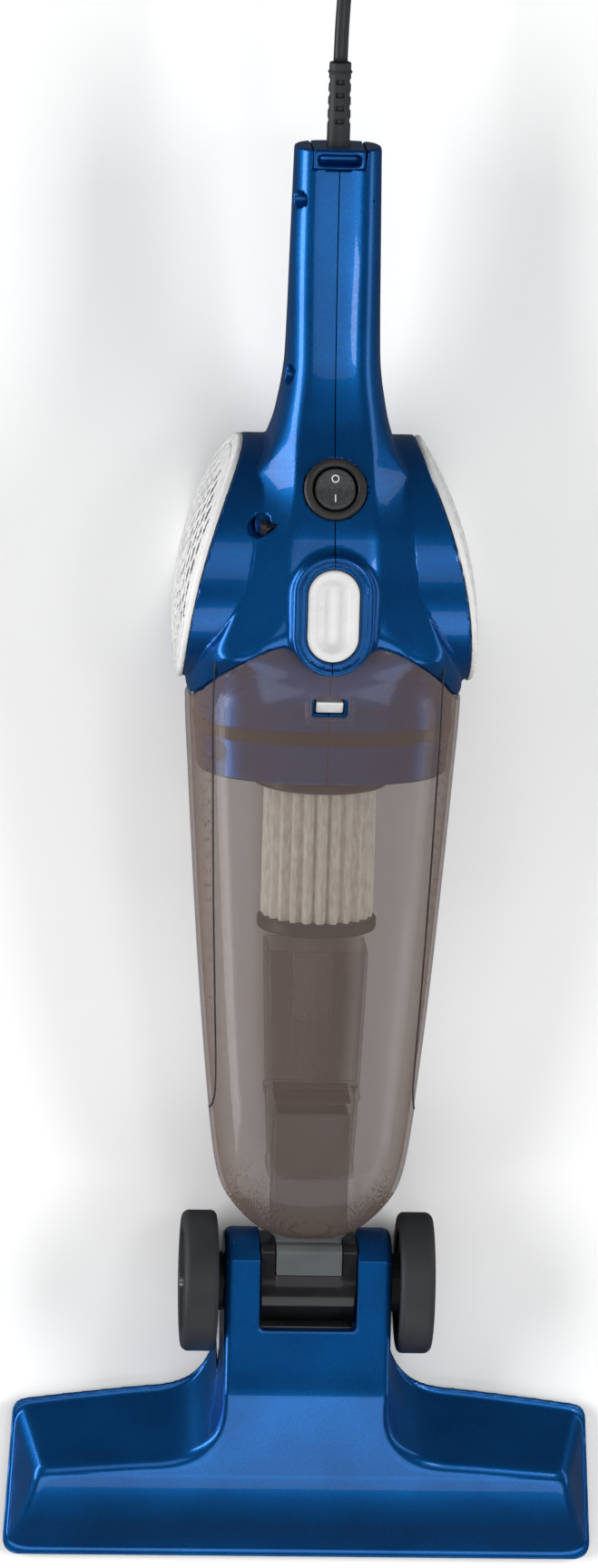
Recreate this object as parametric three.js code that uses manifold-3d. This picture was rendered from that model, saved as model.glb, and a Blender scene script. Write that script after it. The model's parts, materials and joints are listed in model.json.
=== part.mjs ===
// Upright stick vacuum cleaner, laid down: the floor head stands flat on the floor and the body
// leans right back until its motor drum rests on the floor too.
// Millimetres. +X runs across the floor head, +Y from the floor head to the handle, +Z is up.
// The origin is on the floor, in the middle of the footprint of everything but the mains cord.

import * as THREE from 'three'
import { mergeVertices } from 'three/addons/utils/BufferGeometryUtils.js'
import Module from 'manifold-3d'

const wasm = await Module()
wasm.setup()

// ---- driving dimensions ------------------------------------------------------------------------

const GAP = 0.3 // air between two pieces that touch
const SEAM = 0.15 // half the gap between the two housing shells

const WHEEL_RADIUS = 32.2 // the wheels turn on the axis that the body leans about
const HINGE_HEIGHT = WHEEL_RADIUS
const DRUM_AT = 336 // distances along the body are measured from the hinge axis
const DRUM_RADIUS = 55
const DRUM_BEHIND = 6 // the drum's axis lies this far behind the body's own axis
const RECLINE = Math.asin((DRUM_RADIUS - HINGE_HEIGHT) / Math.hypot(DRUM_AT, DRUM_BEHIND))
  + Math.atan(DRUM_BEHIND / DRUM_AT)
const DRUM_FACE_AT_HINGE_SIDE = 66.6 // half the width over the grilles
const DRUM_FACE_AT_HANDLE_SIDE = 41
const DRUM_FACE_BULGE = 7.6 // how far a face's middle stands out from the line between its ends
const GRILLE_DOME = 3.6
const GRILLE_THICKNESS = 2.6

const SHELL_WALL = 2.5
const CUP_WALL = 2
const SKIRT_INSET = 4 // the part of the shells that plugs into the cup
const SKIRT_END = 241
const HANDLE_END = 523.5

const NOZZLE_HALF_FRONT = 135.5
const NOZZLE_HALF_REAR = 131.5
const NOZZLE_FRONT = 133 // forward of the hinge axis
const YOKE_HALF = 38
const YOKE_WINDOW_HALF = 22.2
const YOKE_RADIUS = 25
const COVER_WALL = 2.2
const COVER_FOOT = 3.5
const ARM_SPLIT = 20 // the cover makes the yoke above this height, the base below it
const AXLE_RADIUS = 4
const BARREL_RADIUS = 18.3

const CORD_DIAMETER = 6.4
const COIL_RADIUS = 38 // middle of the turns
const COIL_COLUMNS = 4
const COIL_LAYERS = 5
const COIL_CENTRE = new THREE.Vector2(-6, 722)

// ---- materials ---------------------------------------------------------------------------------

const paint = (color, roughness, metalness = 0, opacity = 1) =>
  new THREE.MeshStandardMaterial({ color, roughness, metalness, opacity, transparent: opacity < 1 })
const blue = () => paint(0x0b4a8f, 0.25, 0.6)
const blackGloss = () => paint(0x151618, 0.2)
const blackMatt = () => paint(0x242628, 0.6)
const rubber = () => paint(0x2e3033, 0.75)
const greyPlastic = () => paint(0x55585a, 0.5)
const white = () => paint(0xe6e8e4, 0.35)
const smoke = () => paint(0x9a8a84, 0.1, 0, 0.45)
const clear = () => paint(0xcfd0cc, 0.1, 0, 0.35)
const paper = () => paint(0xd8d2c4, 0.9)
const foam = () => paint(0x303234, 0.95)
const steel = () => paint(0xa8aaac, 0.35, 0.9)
const brass = () => paint(0xc0a050, 0.3, 0.9)
const felt = () => paint(0x8c1f24, 0.95)
const copper = () => paint(0x9a3324, 0.5, 0.2)

// ---- solids ------------------------------------------------------------------------------------

function solid(geometry) {
  const plain = geometry.clone()
  plain.deleteAttribute('normal')
  plain.deleteAttribute('uv')
  const merged = mergeVertices(plain, 1e-4)
  const corners = merged.index.array
  const kept = []
  for (let i = 0; i < corners.length; i += 3) {
    const [a, b, c] = [corners[i], corners[i + 1], corners[i + 2]]
    if (a !== b && b !== c && c !== a) kept.push(a, b, c)
  }
  return new wasm.Manifold(new wasm.Mesh({
    numProp: 3,
    vertProperties: merged.attributes.position.array,
    triVerts: new Uint32Array(kept),
  }))
}

function geometryOf(body) {
  const mesh = body.getMesh()
  const geometry = new THREE.BufferGeometry()
  geometry.setAttribute('position', new THREE.BufferAttribute(mesh.vertProperties, 3))
  geometry.setIndex(new THREE.BufferAttribute(mesh.triVerts, 1))
  geometry.computeVertexNormals()
  return geometry
}

// A prism along x, y or z. The outline's two numbers are the next two axes in turn:
// (y, z) for a prism along x, (z, x) along y and (x, y) along z.
const TURN = {
  x: new THREE.Matrix4().makeBasis(
    new THREE.Vector3(0, 1, 0), new THREE.Vector3(0, 0, 1), new THREE.Vector3(1, 0, 0)),
  y: new THREE.Matrix4().makeBasis(
    new THREE.Vector3(0, 0, 1), new THREE.Vector3(1, 0, 0), new THREE.Vector3(0, 1, 0)),
  z: new THREE.Matrix4(),
}

function prism(axis, outline, from, to) {
  const shape = outline instanceof THREE.Shape ? outline
    : new THREE.Shape(outline.map(([a, b]) => new THREE.Vector2(a, b)))
  const geometry = new THREE.ExtrudeGeometry(shape, { depth: to - from, bevelEnabled: false, curveSegments: 6 })
  geometry.translate(0, 0, from)
  geometry.applyMatrix4(TURN[axis])
  return solid(geometry)
}

function box(x0, x1, y0, y1, z0, z1) {
  const geometry = new THREE.BoxGeometry(x1 - x0, y1 - y0, z1 - z0)
  geometry.translate((x0 + x1) / 2, (y0 + y1) / 2, (z0 + z1) / 2)
  return solid(geometry)
}

// A round bar from one place to another along x, y or z, centred on the other two coordinates.
function bar(axis, radius, from, to, centre = [0, 0], segments = 20) {
  const geometry = new THREE.CylinderGeometry(radius, radius, to - from, segments)
  geometry.rotateX(Math.PI / 2)
  geometry.translate(centre[0], centre[1], (from + to) / 2)
  geometry.applyMatrix4(TURN[axis])
  return solid(geometry)
}

// A body of revolution. The profile's points are (radius, place along the axis).
function turned(axis, profile, segments = 20) {
  const geometry = new THREE.LatheGeometry(profile.map(([r, h]) => new THREE.Vector2(r, h)), segments)
  geometry.rotateX(Math.PI / 2)
  geometry.applyMatrix4(TURN[axis])
  const body = solid(geometry)
  return body.volume() < 0 ? solid(flipped(geometry)) : body
}

function flipped(geometry) {
  const copy = geometry.index ? geometry.clone() : mergeVertices(geometry)
  const corners = copy.index.array
  for (let i = 0; i < corners.length; i += 3) {
    [corners[i], corners[i + 1]] = [corners[i + 1], corners[i]]
  }
  return copy
}

// A solid through closed rings of equally many points, with flat ends.
function lofted(rings) {
  const count = rings[0].length
  const points = rings.flat()
  const corners = []
  for (let i = 0; i + 1 < rings.length; i++) {
    for (let j = 0; j < count; j++) {
      const a = i * count + j
      const b = i * count + (j + 1) % count
      corners.push(a, b, a + count, b, b + count, a + count)
    }
  }
  for (const end of [0, rings.length - 1]) {
    const middle = new THREE.Vector3()
    rings[end].forEach((p) => middle.addScaledVector(p, 1 / count))
    const hub = points.push(middle) - 1
    for (let j = 0; j < count; j++) {
      const a = end * count + j
      const b = end * count + (j + 1) % count
      corners.push(...(end === 0 ? [hub, b, a] : [hub, a, b]))
    }
  }
  const geometry = new THREE.BufferGeometry().setFromPoints(points)
  geometry.setIndex(corners)
  const body = solid(geometry)
  return body.volume() < 0 ? solid(flipped(geometry)) : body
}

// A round tube along a curve, with flat ends.
function tube(curve, radius, sides, steps) {
  const section = new THREE.Shape()
  section.absarc(0, 0, radius, 0, 2 * Math.PI)
  return solid(new THREE.ExtrudeGeometry(section, {
    extrudePath: curve, steps, curveSegments: sides / 2, bevelEnabled: false,
  }))
}

// An outline with straight sides and half-round ends, length along its second axis.
function pill(halfWidth, halfLength, centre = 0) {
  const shape = new THREE.Shape()
  const reach = halfLength - halfWidth
  shape.absarc(0, centre + reach, halfWidth, 0, Math.PI)
  shape.absarc(0, centre - reach, halfWidth, Math.PI, 2 * Math.PI)
  return shape
}

const model = new THREE.Group()
const upper = new THREE.Group() // the whole body above the hinge, leaning back
upper.position.set(0, 0, HINGE_HEIGHT)
upper.rotation.x = RECLINE
model.add(upper)

function place(group, name, body, material) {
  const mesh = new THREE.Mesh(geometryOf(body), material)
  mesh.name = name
  group.add(mesh)
}

const SIDES = [['left', -1], ['right', 1]]

// ---- floor head --------------------------------------------------------------------------------
// Seen from the side, y is minus the distance forward of the hinge axis.

// The top line from the back of the yoke to the front lip, `inset` inside the outer face.
function coverProfile(inset) {
  const shape = new THREE.Shape()
  shape.absarc(0, HINGE_HEIGHT, YOKE_RADIUS - inset, 0, Math.PI / 2)
  shape.lineTo(-22, HINGE_HEIGHT + YOKE_RADIUS - inset)
  shape.quadraticCurveTo(-48, 57 - inset, -61, 49 - inset)
  shape.lineTo(-89, 34 - inset)
  shape.quadraticCurveTo(-112, 25 - inset, -NOZZLE_FRONT + 5 + inset, 7 - inset)
  shape.lineTo(-NOZZLE_FRONT + inset, 6 - inset)
  shape.lineTo(-NOZZLE_FRONT + inset, -10)
  shape.lineTo(YOKE_RADIUS - inset, -10)
  return shape
}

// The head from above: a wide nozzle with rounded corners and the yoke behind it.
function headPlan(inset) {
  const front = -NOZZLE_FRONT + inset
  const wide = NOZZLE_HALF_FRONT - inset
  const rear = NOZZLE_HALF_REAR - inset
  const yoke = YOKE_HALF - inset
  const shape = new THREE.Shape()
  shape.moveTo(-wide + 8, front)
  shape.lineTo(wide - 8, front)
  shape.quadraticCurveTo(wide, front, wide, front + 8)
  shape.lineTo(rear, -68 - inset)
  shape.quadraticCurveTo(rear - 1, -61 - inset, rear - 9, -60.5 - inset)
  shape.lineTo(60, -55 - inset)
  shape.quadraticCurveTo(yoke, -52 - inset, yoke, -36)
  shape.lineTo(yoke, 40)
  shape.lineTo(-yoke, 40)
  shape.lineTo(-yoke, -36)
  shape.quadraticCurveTo(-yoke, -52 - inset, -60, -55 - inset)
  shape.lineTo(-rear + 9, -60.5 - inset)
  shape.quadraticCurveTo(-rear + 1, -61 - inset, -rear, -68 - inset)
  shape.lineTo(-wide, front + 8)
  shape.quadraticCurveTo(-wide, front, -wide + 8, front)
  return shape
}

// What is scooped out above each wing: everything over a deck that falls away to the rear.
function wingScoop(side, inset) {
  const edge = new THREE.Shape()
  edge.moveTo(YOKE_HALF - inset, -30)
  edge.lineTo(YOKE_HALF - inset, -50)
  edge.bezierCurveTo(YOKE_HALF + 2 - inset, -74 - inset, 84, -87 - inset, 145, -91 - inset)
  edge.lineTo(145, -30)
  const above = prism('x', [[-92 - inset, 34 - inset], [-46, 9 - inset], [-30, 9 - inset], [-30, 90], [-92 - inset, 90]],
    0, 150)
  const right = prism('z', edge, -20, 90).intersect(above)
  return side > 0 ? right : right.mirror([1, 0, 0])
}

function headForm(inset) {
  let form = prism('x', coverProfile(inset), -150, 150).intersect(prism('z', headPlan(inset), -20, 90))
  for (const [, side] of SIDES) form = form.subtract(wingScoop(side, inset))
  return form
}

const yokeWindow = () => box(-YOKE_WINDOW_HALF, YOKE_WINDOW_HALF, -19, 40, -10, 90)
const yokeBores = () => bar('x', AXLE_RADIUS + GAP, -60, 60, [0, HINGE_HEIGHT])
  .add(bar('x', 6 + GAP, -29, 29, [0, HINGE_HEIGHT]))

function headCover() {
  const windowWalls = box(-YOKE_WINDOW_HALF - COVER_WALL, YOKE_WINDOW_HALF + COVER_WALL,
    -19 - COVER_WALL, 40, -10, 90)
  const hollow = headForm(COVER_WALL).subtract(windowWalls)
  const lowerYoke = box(-60, 60, -50, 40, -20, ARM_SPLIT)
  return headForm(0)
    .subtract(box(-150, 150, -140, 40, -20, COVER_FOOT))
    .subtract(lowerYoke)
    .subtract(hollow)
    .subtract(yokeWindow())
    .subtract(yokeBores())
    .subtract(box(-21.3, 21.3, -30, -18, 20.6, 45.4))
}

const SOLE = 1.6 // height of the underside of the base
const BASE_TOP = 4.6

function headBase() {
  const inset = COVER_WALL + GAP + 0.3
  const tray = headForm(inset)
  const plate = tray.intersect(box(-150, 150, -140, -52, SOLE, BASE_TOP))
  const behindAxle = box(-60, 60, 0, 40, 0, HINGE_HEIGHT)
    .subtract(bar('x', YOKE_RADIUS - 0.6, -60, 60, [0, HINGE_HEIGHT]))
  const yokeForm = headForm(0.4).intersect(box(-60, 60, -49.7, 40, 5, ARM_SPLIT - GAP))
    .subtract(behindAxle)
  const yokeHollow = box(-YOKE_HALF + 3, YOKE_HALF - 3, -51, 40, 8, 60)
    .subtract(box(-YOKE_WINDOW_HALF - 3, YOKE_WINDOW_HALF + 3, -22, 40, 0, 60))
  const tongue = box(-34, 34, -62, -44, SOLE, BASE_TOP + 3)
  return yokeForm.subtract(yokeHollow)
    .subtract(yokeWindow())
    .add(tongue.subtract(box(-40, 40, -70, -53, BASE_TOP, 60)))
    .add(plate)
    .subtract(box(-100, 100, -107, -88, -5, 60))
}

function suctionDuct() {
  const outer = prism('x', [[-15, 21], [-15, 45], [-56, 45], [-90, 27], [-107.5, 17], [-107.5, 5], [-87.5, 5],
    [-87.5, 12], [-60, 21]], -21, 21)
  const inner = prism('x', [[-10, 23], [-10, 43], [-55.5, 43], [-89, 25], [-105.5, 15.5], [-105.5, 0], [-89.5, 0],
    [-89.5, 13.5], [-60, 23]], -19, 19)
  return outer.subtract(inner).subtract(bar('x', BARREL_RADIUS + 4.4, -30, 30, [0, HINGE_HEIGHT]))
}

// A pile strip set along the sole, its lower face on the floor.
const lintStrip = (from, to) => box(-108, 108, from, to, 0, SOLE - GAP)

function wheelTyre(side) {
  const [inner, outer] = [41.4, 57]
  const profile = [[24, inner], [WHEEL_RADIUS - 1.5, inner], [WHEEL_RADIUS, inner + 1.5],
    [WHEEL_RADIUS, outer - 4], [WHEEL_RADIUS - 1.2, outer - 1.2], [WHEEL_RADIUS - 4, outer],
    [24, outer], [24, inner]]
  return turned('x', profile.map(([r, x]) => [r, side * x]), 32)
}

function wheelHub(side) {
  const bore = AXLE_RADIUS + GAP
  const profile = [[bore, 38.4], [13.5, 38.4], [13.5, 43], [24 - GAP, 43], [24 - GAP, 55.6], [11, 56.2],
    [bore, 56.2], [bore, 38.4]]
  return turned('x', profile.map(([r, x]) => [r, side * x]))
}

function makeHead() {
  place(model, 'head_cover', headCover(), blue())
  place(model, 'head_base', headBase(), blackMatt())
  place(model, 'suction_duct', suctionDuct(), greyPlastic())
  place(model, 'lint_strip_front', lintStrip(-121, -112), felt())
  place(model, 'lint_strip_rear', lintStrip(-80, -71), felt())
  for (const [name, side] of SIDES) {
    const ends = [side * 29.5, side * 58].sort((a, b) => a - b)
    place(model, `axle_${name}`, bar('x', AXLE_RADIUS, ...ends, [0, HINGE_HEIGHT], 24), steel())
    place(model, `tyre_${name}`, wheelTyre(side).translate(0, 0, HINGE_HEIGHT), rubber())
    place(model, `wheel_hub_${name}`, wheelHub(side).translate(0, 0, HINGE_HEIGHT), blackMatt())
  }
}

// ---- body outline ------------------------------------------------------------------------------
// Stations along the body: [distance from the hinge, half width, depth to the front, depth to the
// back, squareness of the section, where 2 is an ellipse and more is squarer].

const CUP_STATIONS = [
  [22, 9, 8, 7, 2.2], [24.2, 18.5, 15.5, 14, 2.2], [28, 25, 21, 19.5, 2.3], [33, 30.6, 25.7, 23.8, 2.3],
  [38, 35, 29.2, 27, 2.3], [45, 39.6, 32.8, 30.4, 2.4], [54, 42.6, 35.2, 32.6, 2.4], [68, 45, 37.3, 34.5, 2.4],
  [85, 47, 39, 36.2, 2.4], [135, 52, 43.3, 40, 2.4],
  [185, 56.1, 46.7, 43.2, 2.4], [236, 59.8, 49.8, 46, 2.4],
]
const BODY_STATIONS = [
  [274, 62.1, 51.6, 47.8, 2.4], [290, 62, 55, 48, 2.5], [300, 57.5, 57, 47.5, 2.7], [310, 50, 58, 47, 3.2],
  [320, 44.5, 58.6, 46, 3.8], [336, 38.6, 59, 44.5, 4], [352, 37, 56, 42, 4], [372, 37.6, 48, 36, 3.6],
  [380, 33, 44.5, 32, 3.2], [390, 28, 39.5, 27, 3],
  [405, 24, 33, 22, 2.8], [430, 21.3, 26, 19, 2.6], [480, 20.3, 18.5, 17, 2.6], [HANDLE_END, 19.5, 16, 16, 2.6],
]
const OUTLINE_POINTS = 24

function bodyRing([at, halfWidth, front, back, squareness], inset) {
  const power = 2 / squareness
  return Array.from({ length: OUTLINE_POINTS }, (_, i) => {
    const angle = 2 * Math.PI * (i + 0.5) / OUTLINE_POINTS
    const [c, s] = [Math.cos(angle), Math.sin(angle)]
    const depth = (s > 0 ? front : back) - inset
    return new THREE.Vector3(
      (halfWidth - inset) * Math.sign(c) * Math.abs(c) ** power,
      at,
      depth * Math.sign(s) * Math.abs(s) ** power)
  })
}

// The body outline between two places, `inset` inside the outer face.
function bodyForm(from, to, inset) {
  const all = [...CUP_STATIONS, ...BODY_STATIONS]
  const stationAt = (at) => {
    const next = all.findIndex(([place]) => place >= at)
    if (all[next][0] === at) return all[next]
    const t = (at - all[next - 1][0]) / (all[next][0] - all[next - 1][0])
    return all[next].map((value, i) => all[next - 1][i] + t * (value - all[next - 1][i]))
  }
  const inner = all.filter(([place]) => place > from && place < to)
  return lofted([stationAt(from), ...inner, stationAt(to)].map((station) => bodyRing(station, inset)))
}

// The edge between cup and housing: level round the back, two peaks and a dip at the front.
const RIM = 274
function belowRim(lift) {
  const half = [[0, 18.8], [12, 24], [22, 31.3], [38, 24], [51, 12.5], [62, 0]]
  const mirrored = half.slice(1).reverse().map(([x, rise]) => [-x, rise])
  const edge = [...mirrored, ...half].map(([x, rise]) => new THREE.Vector2(x, RIM + rise + lift))
  const shape = new THREE.Shape()
  shape.moveTo(90, RIM + lift)
  shape.lineTo(90, -20)
  shape.lineTo(-90, -20)
  shape.lineTo(-90, RIM + lift)
  shape.lineTo(-62, RIM + lift)
  shape.splineThru(edge.slice(1))
  return prism('z', shape, 0, 100).add(box(-90, 90, -20, RIM + lift, -100, 0.01))
}

// ---- cup unit ----------------------------------------------------------------------------------

const NECK_HALF = 17.25
const NECK_HALF_BELOW = 15 // where it passes between the barrel's cheeks
const NECK_DEPTH = 11
const COLLAR_FRONT = 17.8
const COLLAR_TOP = 21
const LATCH_AT = 277.5

function rectangleRing(at, halfWidth, depth) {
  return [[halfWidth, -depth], [halfWidth, depth], [-halfWidth, depth], [-halfWidth, -depth]]
    .map(([x, z]) => new THREE.Vector3(x, at, z))
}

function neckForm(inset) {
  return lofted([
    rectangleRing(9 - inset * 4, NECK_HALF_BELOW - inset, NECK_DEPTH - inset),
    rectangleRing(22.5, NECK_HALF_BELOW - inset, NECK_DEPTH - inset),
    rectangleRing(25, NECK_HALF - inset, NECK_DEPTH - inset),
    rectangleRing(83 + inset * 2, NECK_HALF - inset, NECK_DEPTH - inset),
  ])
}

// Between the cheeks the tube is thicker at the front, level with the top of the barrel.
function neckTube() {
  const collar = prism('x', [[0, 0], [COLLAR_TOP, 0], [COLLAR_TOP, 15], [COLLAR_TOP - 2, COLLAR_FRONT],
    [0, COLLAR_FRONT]], -NECK_HALF_BELOW, NECK_HALF_BELOW)
  return neckForm(0).add(collar).subtract(neckForm(2)).subtract(bar('x', BARREL_RADIUS + GAP, -30, 30))
}

// The barrel turns between the yoke's arms; air passes in at its front and out into the neck,
// which two cheeks hold from the sides.
function hingeBarrel() {
  const ends = YOKE_WINDOW_HALF - GAP
  const frontMouth = prism('x', [[0, 0], [-30, -14], [-30, 14]], -18, 18)
  const profile = [[0, -12], [COLLAR_TOP - 1.5, -12], [COLLAR_TOP, -10], [COLLAR_TOP, 15],
    [COLLAR_TOP - 2, COLLAR_FRONT], [0, COLLAR_FRONT]]
  const inside = NECK_HALF_BELOW + GAP + 0.1
  const cheek = (side) => prism('x', profile, side > 0 ? inside : -ends, side > 0 ? ends : -inside)
  return bar('x', BARREL_RADIUS, -ends, ends, [0, 0], 32)
    .add(bar('x', 6, -28, 28))
    .add(cheek(1))
    .add(cheek(-1))
    .subtract(bar('x', BARREL_RADIUS - 2, -ends + 2.5, ends - 2.5))
    .subtract(frontMouth)
    .subtract(box(-12, 12, 4, 30, -8, 8))
}

function dustCup() {
  const inside = bodyForm(24.2, 340, CUP_WALL)
  const latchWindow = box(-8.2, 8.2, LATCH_AT - 4.2, LATCH_AT + 4.2, 20, 90)
  const windowFrame = box(-11, 11, LATCH_AT - 7, LATCH_AT + 7, 48, 53)
    .subtract(bodyForm(240, 330, CUP_WALL))
  return bodyForm(22, 330, 0).intersect(belowRim(0))
    .add(windowFrame)
    .subtract(inside)
    .subtract(latchWindow)
    .subtract(neckForm(-GAP))
}

// The clear duct stands over the neck and carries the dirt up to the filter.
function inletDuct() {
  const outer = lofted([rectangleRing(53, 19.5, 14), rectangleRing(94, 21.5, 16), rectangleRing(158, 23.7, 18)])
  const inner = lofted([rectangleRing(48, 17.6, 11.4), rectangleRing(94, 19.9, 14.4), rectangleRing(170, 22.3, 16.5)])
  const dirtMouth = box(-9, 9, 118, 150, -40, 0)
  return outer.subtract(inner).subtract(neckForm(-GAP)).subtract(dirtMouth).subtract(bar('x', 1.4, -25, 25, [88.2, -10.2], 12))
}

function inletFlap() {
  return box(-17, 17, 86.7, 88.4, -9, 13).add(bar('x', 2.6, -17, 17, [88.2, -10.2], 16))
    .subtract(bar('x', 1.3, -20, 20, [88.2, -10.2], 12))
}

function makeCup() {
  place(upper, 'hinge_barrel', hingeBarrel(), blackGloss())
  place(upper, 'neck_tube', neckTube(), greyPlastic())
  place(upper, 'dust_cup', dustCup(), smoke())
  place(upper, 'inlet_duct', inletDuct(), clear())
  place(upper, 'inlet_flap', inletFlap(), rubber())
  place(upper, 'flap_pin', bar('x', 1, -21.4, 21.4, [88.2, -10.2], 12), steel())
}

// ---- hand unit ---------------------------------------------------------------------------------

const CANT = Math.atan((DRUM_FACE_AT_HINGE_SIDE - DRUM_FACE_AT_HANDLE_SIDE) / (2 * DRUM_RADIUS))

// Half the width over the drum's canted, slightly bulging faces.
function faceAt(along) {
  const t = (along - DRUM_AT) / DRUM_RADIUS
  const straight = DRUM_FACE_AT_HINGE_SIDE * (1 - t) / 2 + DRUM_FACE_AT_HANDLE_SIDE * (1 + t) / 2
  return straight + DRUM_FACE_BULGE * (1 - t * t)
}

// Everything between the two faces, moved in by `inset`.
function betweenFaces(inset) {
  const places = Array.from({ length: 13 }, (_, i) => DRUM_AT + (i / 6 - 1) * DRUM_RADIUS * 1.2)
  const right = places.map((along) => [faceAt(along) - inset / Math.cos(CANT), along])
  const left = right.map(([x, along]) => [-x, along]).reverse()
  return prism('z', [...right, ...left], -90, 90)
}

const drum = (radius, faceInset) =>
  bar('x', radius, -90, 90, [DRUM_AT, -DRUM_BEHIND], 36).intersect(betweenFaces(faceInset))

// Buttons and switch sit in the front of the spine.
const BUTTON_AT = 320.7
const BUTTON_HALF_WIDTH = 11.5
const BUTTON_HALF_LENGTH = 20.9
const BUTTON_TOP = 60
const SWITCH_AT = 376
const SWITCH_FRONT = 46.4
const SWITCH_LEAN = 0.32
const SCREWS = [[500.3, 9.5, 3.9], [422, 15, 4.4], [358, 46, 5], [253, 28, 4.4]] // [along, front, recess radius]
const SCREW_HEAD_AT = [-9, -11, -30, -34]
const RECESS_DEPTH = [20, 20, 8.6, 60]

function switchPlaced(body) {
  const matrix = new THREE.Matrix4().makeRotationX(-SWITCH_LEAN)
  matrix.setPosition(0, SWITCH_AT, SWITCH_FRONT)
  return body.transform(matrix.elements)
}

function housing() {
  const outer = bodyForm(RIM, HANDLE_END, 0).subtract(belowRim(0.4))
    .add(bodyForm(SKIRT_END, 330, SKIRT_INSET))
    .add(drum(DRUM_RADIUS, GRILLE_THICKNESS + GAP))
    .add(prism('z', pill(18, 27.4, BUTTON_AT + 0.5), 40, 60.8).subtract(belowRim(0.4)))
  const inner = bodyForm(SKIRT_END + SHELL_WALL, 312, SKIRT_INSET + SHELL_WALL)
    .add(bodyForm(308, HANDLE_END - 3, SHELL_WALL))
    .add(drum(DRUM_RADIUS - SHELL_WALL, GRILLE_THICKNESS + GAP + SHELL_WALL))
  let shell = outer.subtract(inner)
  for (const [at, front, radius] of SCREWS) {
    const boss = bar('x', radius + 1.6, -56, 56, [at, front], 12).intersect(outer)
    shell = shell.add(boss)
  }
  const springSeat = box(-17.5, -15.3, BUTTON_AT - 6, BUTTON_AT + 6, 27, 57)
    .add(box(-17.5, 6, BUTTON_AT - 6, BUTTON_AT + 6, 27, 29.5))
  return shell.add(springSeat)
}

function housingCuts() {
  const buttonWell = prism('z', pill(BUTTON_HALF_WIDTH + 0.4, BUTTON_HALF_LENGTH + 0.4, BUTTON_AT), 50, 90)
  const buttonFlange = prism('z', pill(14.4, 23.8, BUTTON_AT), 38, 50)
  const switchWell = switchPlaced(bar('z', 12.3, -30, 40)
    .add(bar('z', 14.3, -2.5, 40, [0, 0], 24)))
  const latchHole = box(-6.6, 6.6, LATCH_AT - 3.6, LATCH_AT + 3.6, 30, 90)
  const hookPath = box(-7, 7, LATCH_AT - 3.6, BUTTON_AT + 10, 36, 46.4)
  const airHole = bar('y', 20, SKIRT_END - 5, SKIRT_END + 10, [0, 0], 24)
  const capSocket = box(-11.8, 11.8, 514.7, HANDLE_END + 5, -30, 30)
  const exhaust = bar('x', 46, -90, 90, [DRUM_AT, -DRUM_BEHIND], 24).subtract(box(-34, 34, 200, 500, -90, 90))
  let cuts = buttonWell.add(buttonFlange).add(switchWell).add(latchHole).add(hookPath)
    .add(airHole).add(capSocket).add(exhaust)
  SCREWS.forEach(([at, front, radius], i) => {
    cuts = cuts.add(bar('x', radius, SCREW_HEAD_AT[i] - RECESS_DEPTH[i], SCREW_HEAD_AT[i], [at, front], 12))
      .add(bar('x', 2.2, SCREW_HEAD_AT[i] - 1, 16, [at, front], 8))
  })
  return cuts
}

function makeShells() {
  const shell = housing().subtract(housingCuts())
  const spring = box(-20, 20, BUTTON_AT - 8, BUTTON_AT + 8, 20, 49)
  const left = shell.intersect(box(-100, -SEAM, 200, 600, -100, 100))
    .add(shell.intersect(spring).intersect(box(-SEAM - 0.01, 6, 200, 600, 26, 30)))
  const right = shell.intersect(box(SEAM, 100, 200, 600, -100, 100))
    .subtract(spring.intersect(box(0, 7, 200, 600, 26, 30)))
  place(upper, 'shell_left', left, blue())
  place(upper, 'shell_right', right, blue())
}

function housingScrew(i) {
  const [at, front, radius] = SCREWS[i]
  const head = Math.min(radius - 0.4, 3.6)
  const seat = SCREW_HEAD_AT[i]
  return bar('x', head, seat - 3, seat - GAP, [at, front], 12)
    .add(bar('x', 1.8, seat - 1, 12, [at, front], 8))
    .subtract(box(seat - 4, seat - 1.8, at - 0.5, at + 0.5, front - 2.4, front + 2.4))
    .subtract(box(seat - 4, seat - 1.8, at - 2.4, at + 2.4, front - 0.5, front + 0.5))
}

// One ring of points on a domed plate over the drum's end.
function domeRing(radius, inset) {
  const rise = GRILLE_DOME * (1 - (radius / DRUM_RADIUS) ** 2)
  return Array.from({ length: 36 }, (_, i) => {
    const angle = i * Math.PI / 18
    const along = DRUM_AT + radius * Math.cos(angle)
    return new THREE.Vector3(faceAt(along) + rise - inset, along, radius * Math.sin(angle) - DRUM_BEHIND)
  })
}

// The domed plate, with rows of slots.
function grille(side) {
  const radii = [3, 20, 34, 45, DRUM_RADIUS]
  const inner = radii.map((radius) => domeRing(radius, GRILLE_THICKNESS / Math.cos(CANT)))
  const outer = radii.map((radius) => domeRing(radius, 0)).reverse()
  let plate = lofted([...inner, ...outer])
  const [rowPitch, slotPitch, slotLength, slotHeight] = [13, 18, 13, 6]
  for (let row = -3; row <= 3; row++) {
    const half = Math.sqrt(44 ** 2 - (row * rowPitch) ** 2)
    for (let column = -2; column <= 2; column++) {
      const centre = (column + (row % 2 ? 0.5 : 0)) * slotPitch
      if (Math.abs(centre) + slotLength / 2 > half) continue
      plate = plate.subtract(box(20, 90, DRUM_AT + centre - slotLength / 2, DRUM_AT + centre + slotLength / 2,
        row * rowPitch - DRUM_BEHIND - slotHeight / 2, row * rowPitch - DRUM_BEHIND + slotHeight / 2))
    }
  }
  return side > 0 ? plate : plate.mirror([1, 0, 0])
}

function exhaustFoam(side) {
  const inset = GRILLE_THICKNESS + GAP
  const pad = bar('x', 44.5, 0, 90, [DRUM_AT, -DRUM_BEHIND], 24)
    .intersect(betweenFaces(inset).subtract(betweenFaces(inset + 5)))
  return side > 0 ? pad : pad.mirror([1, 0, 0])
}

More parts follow.
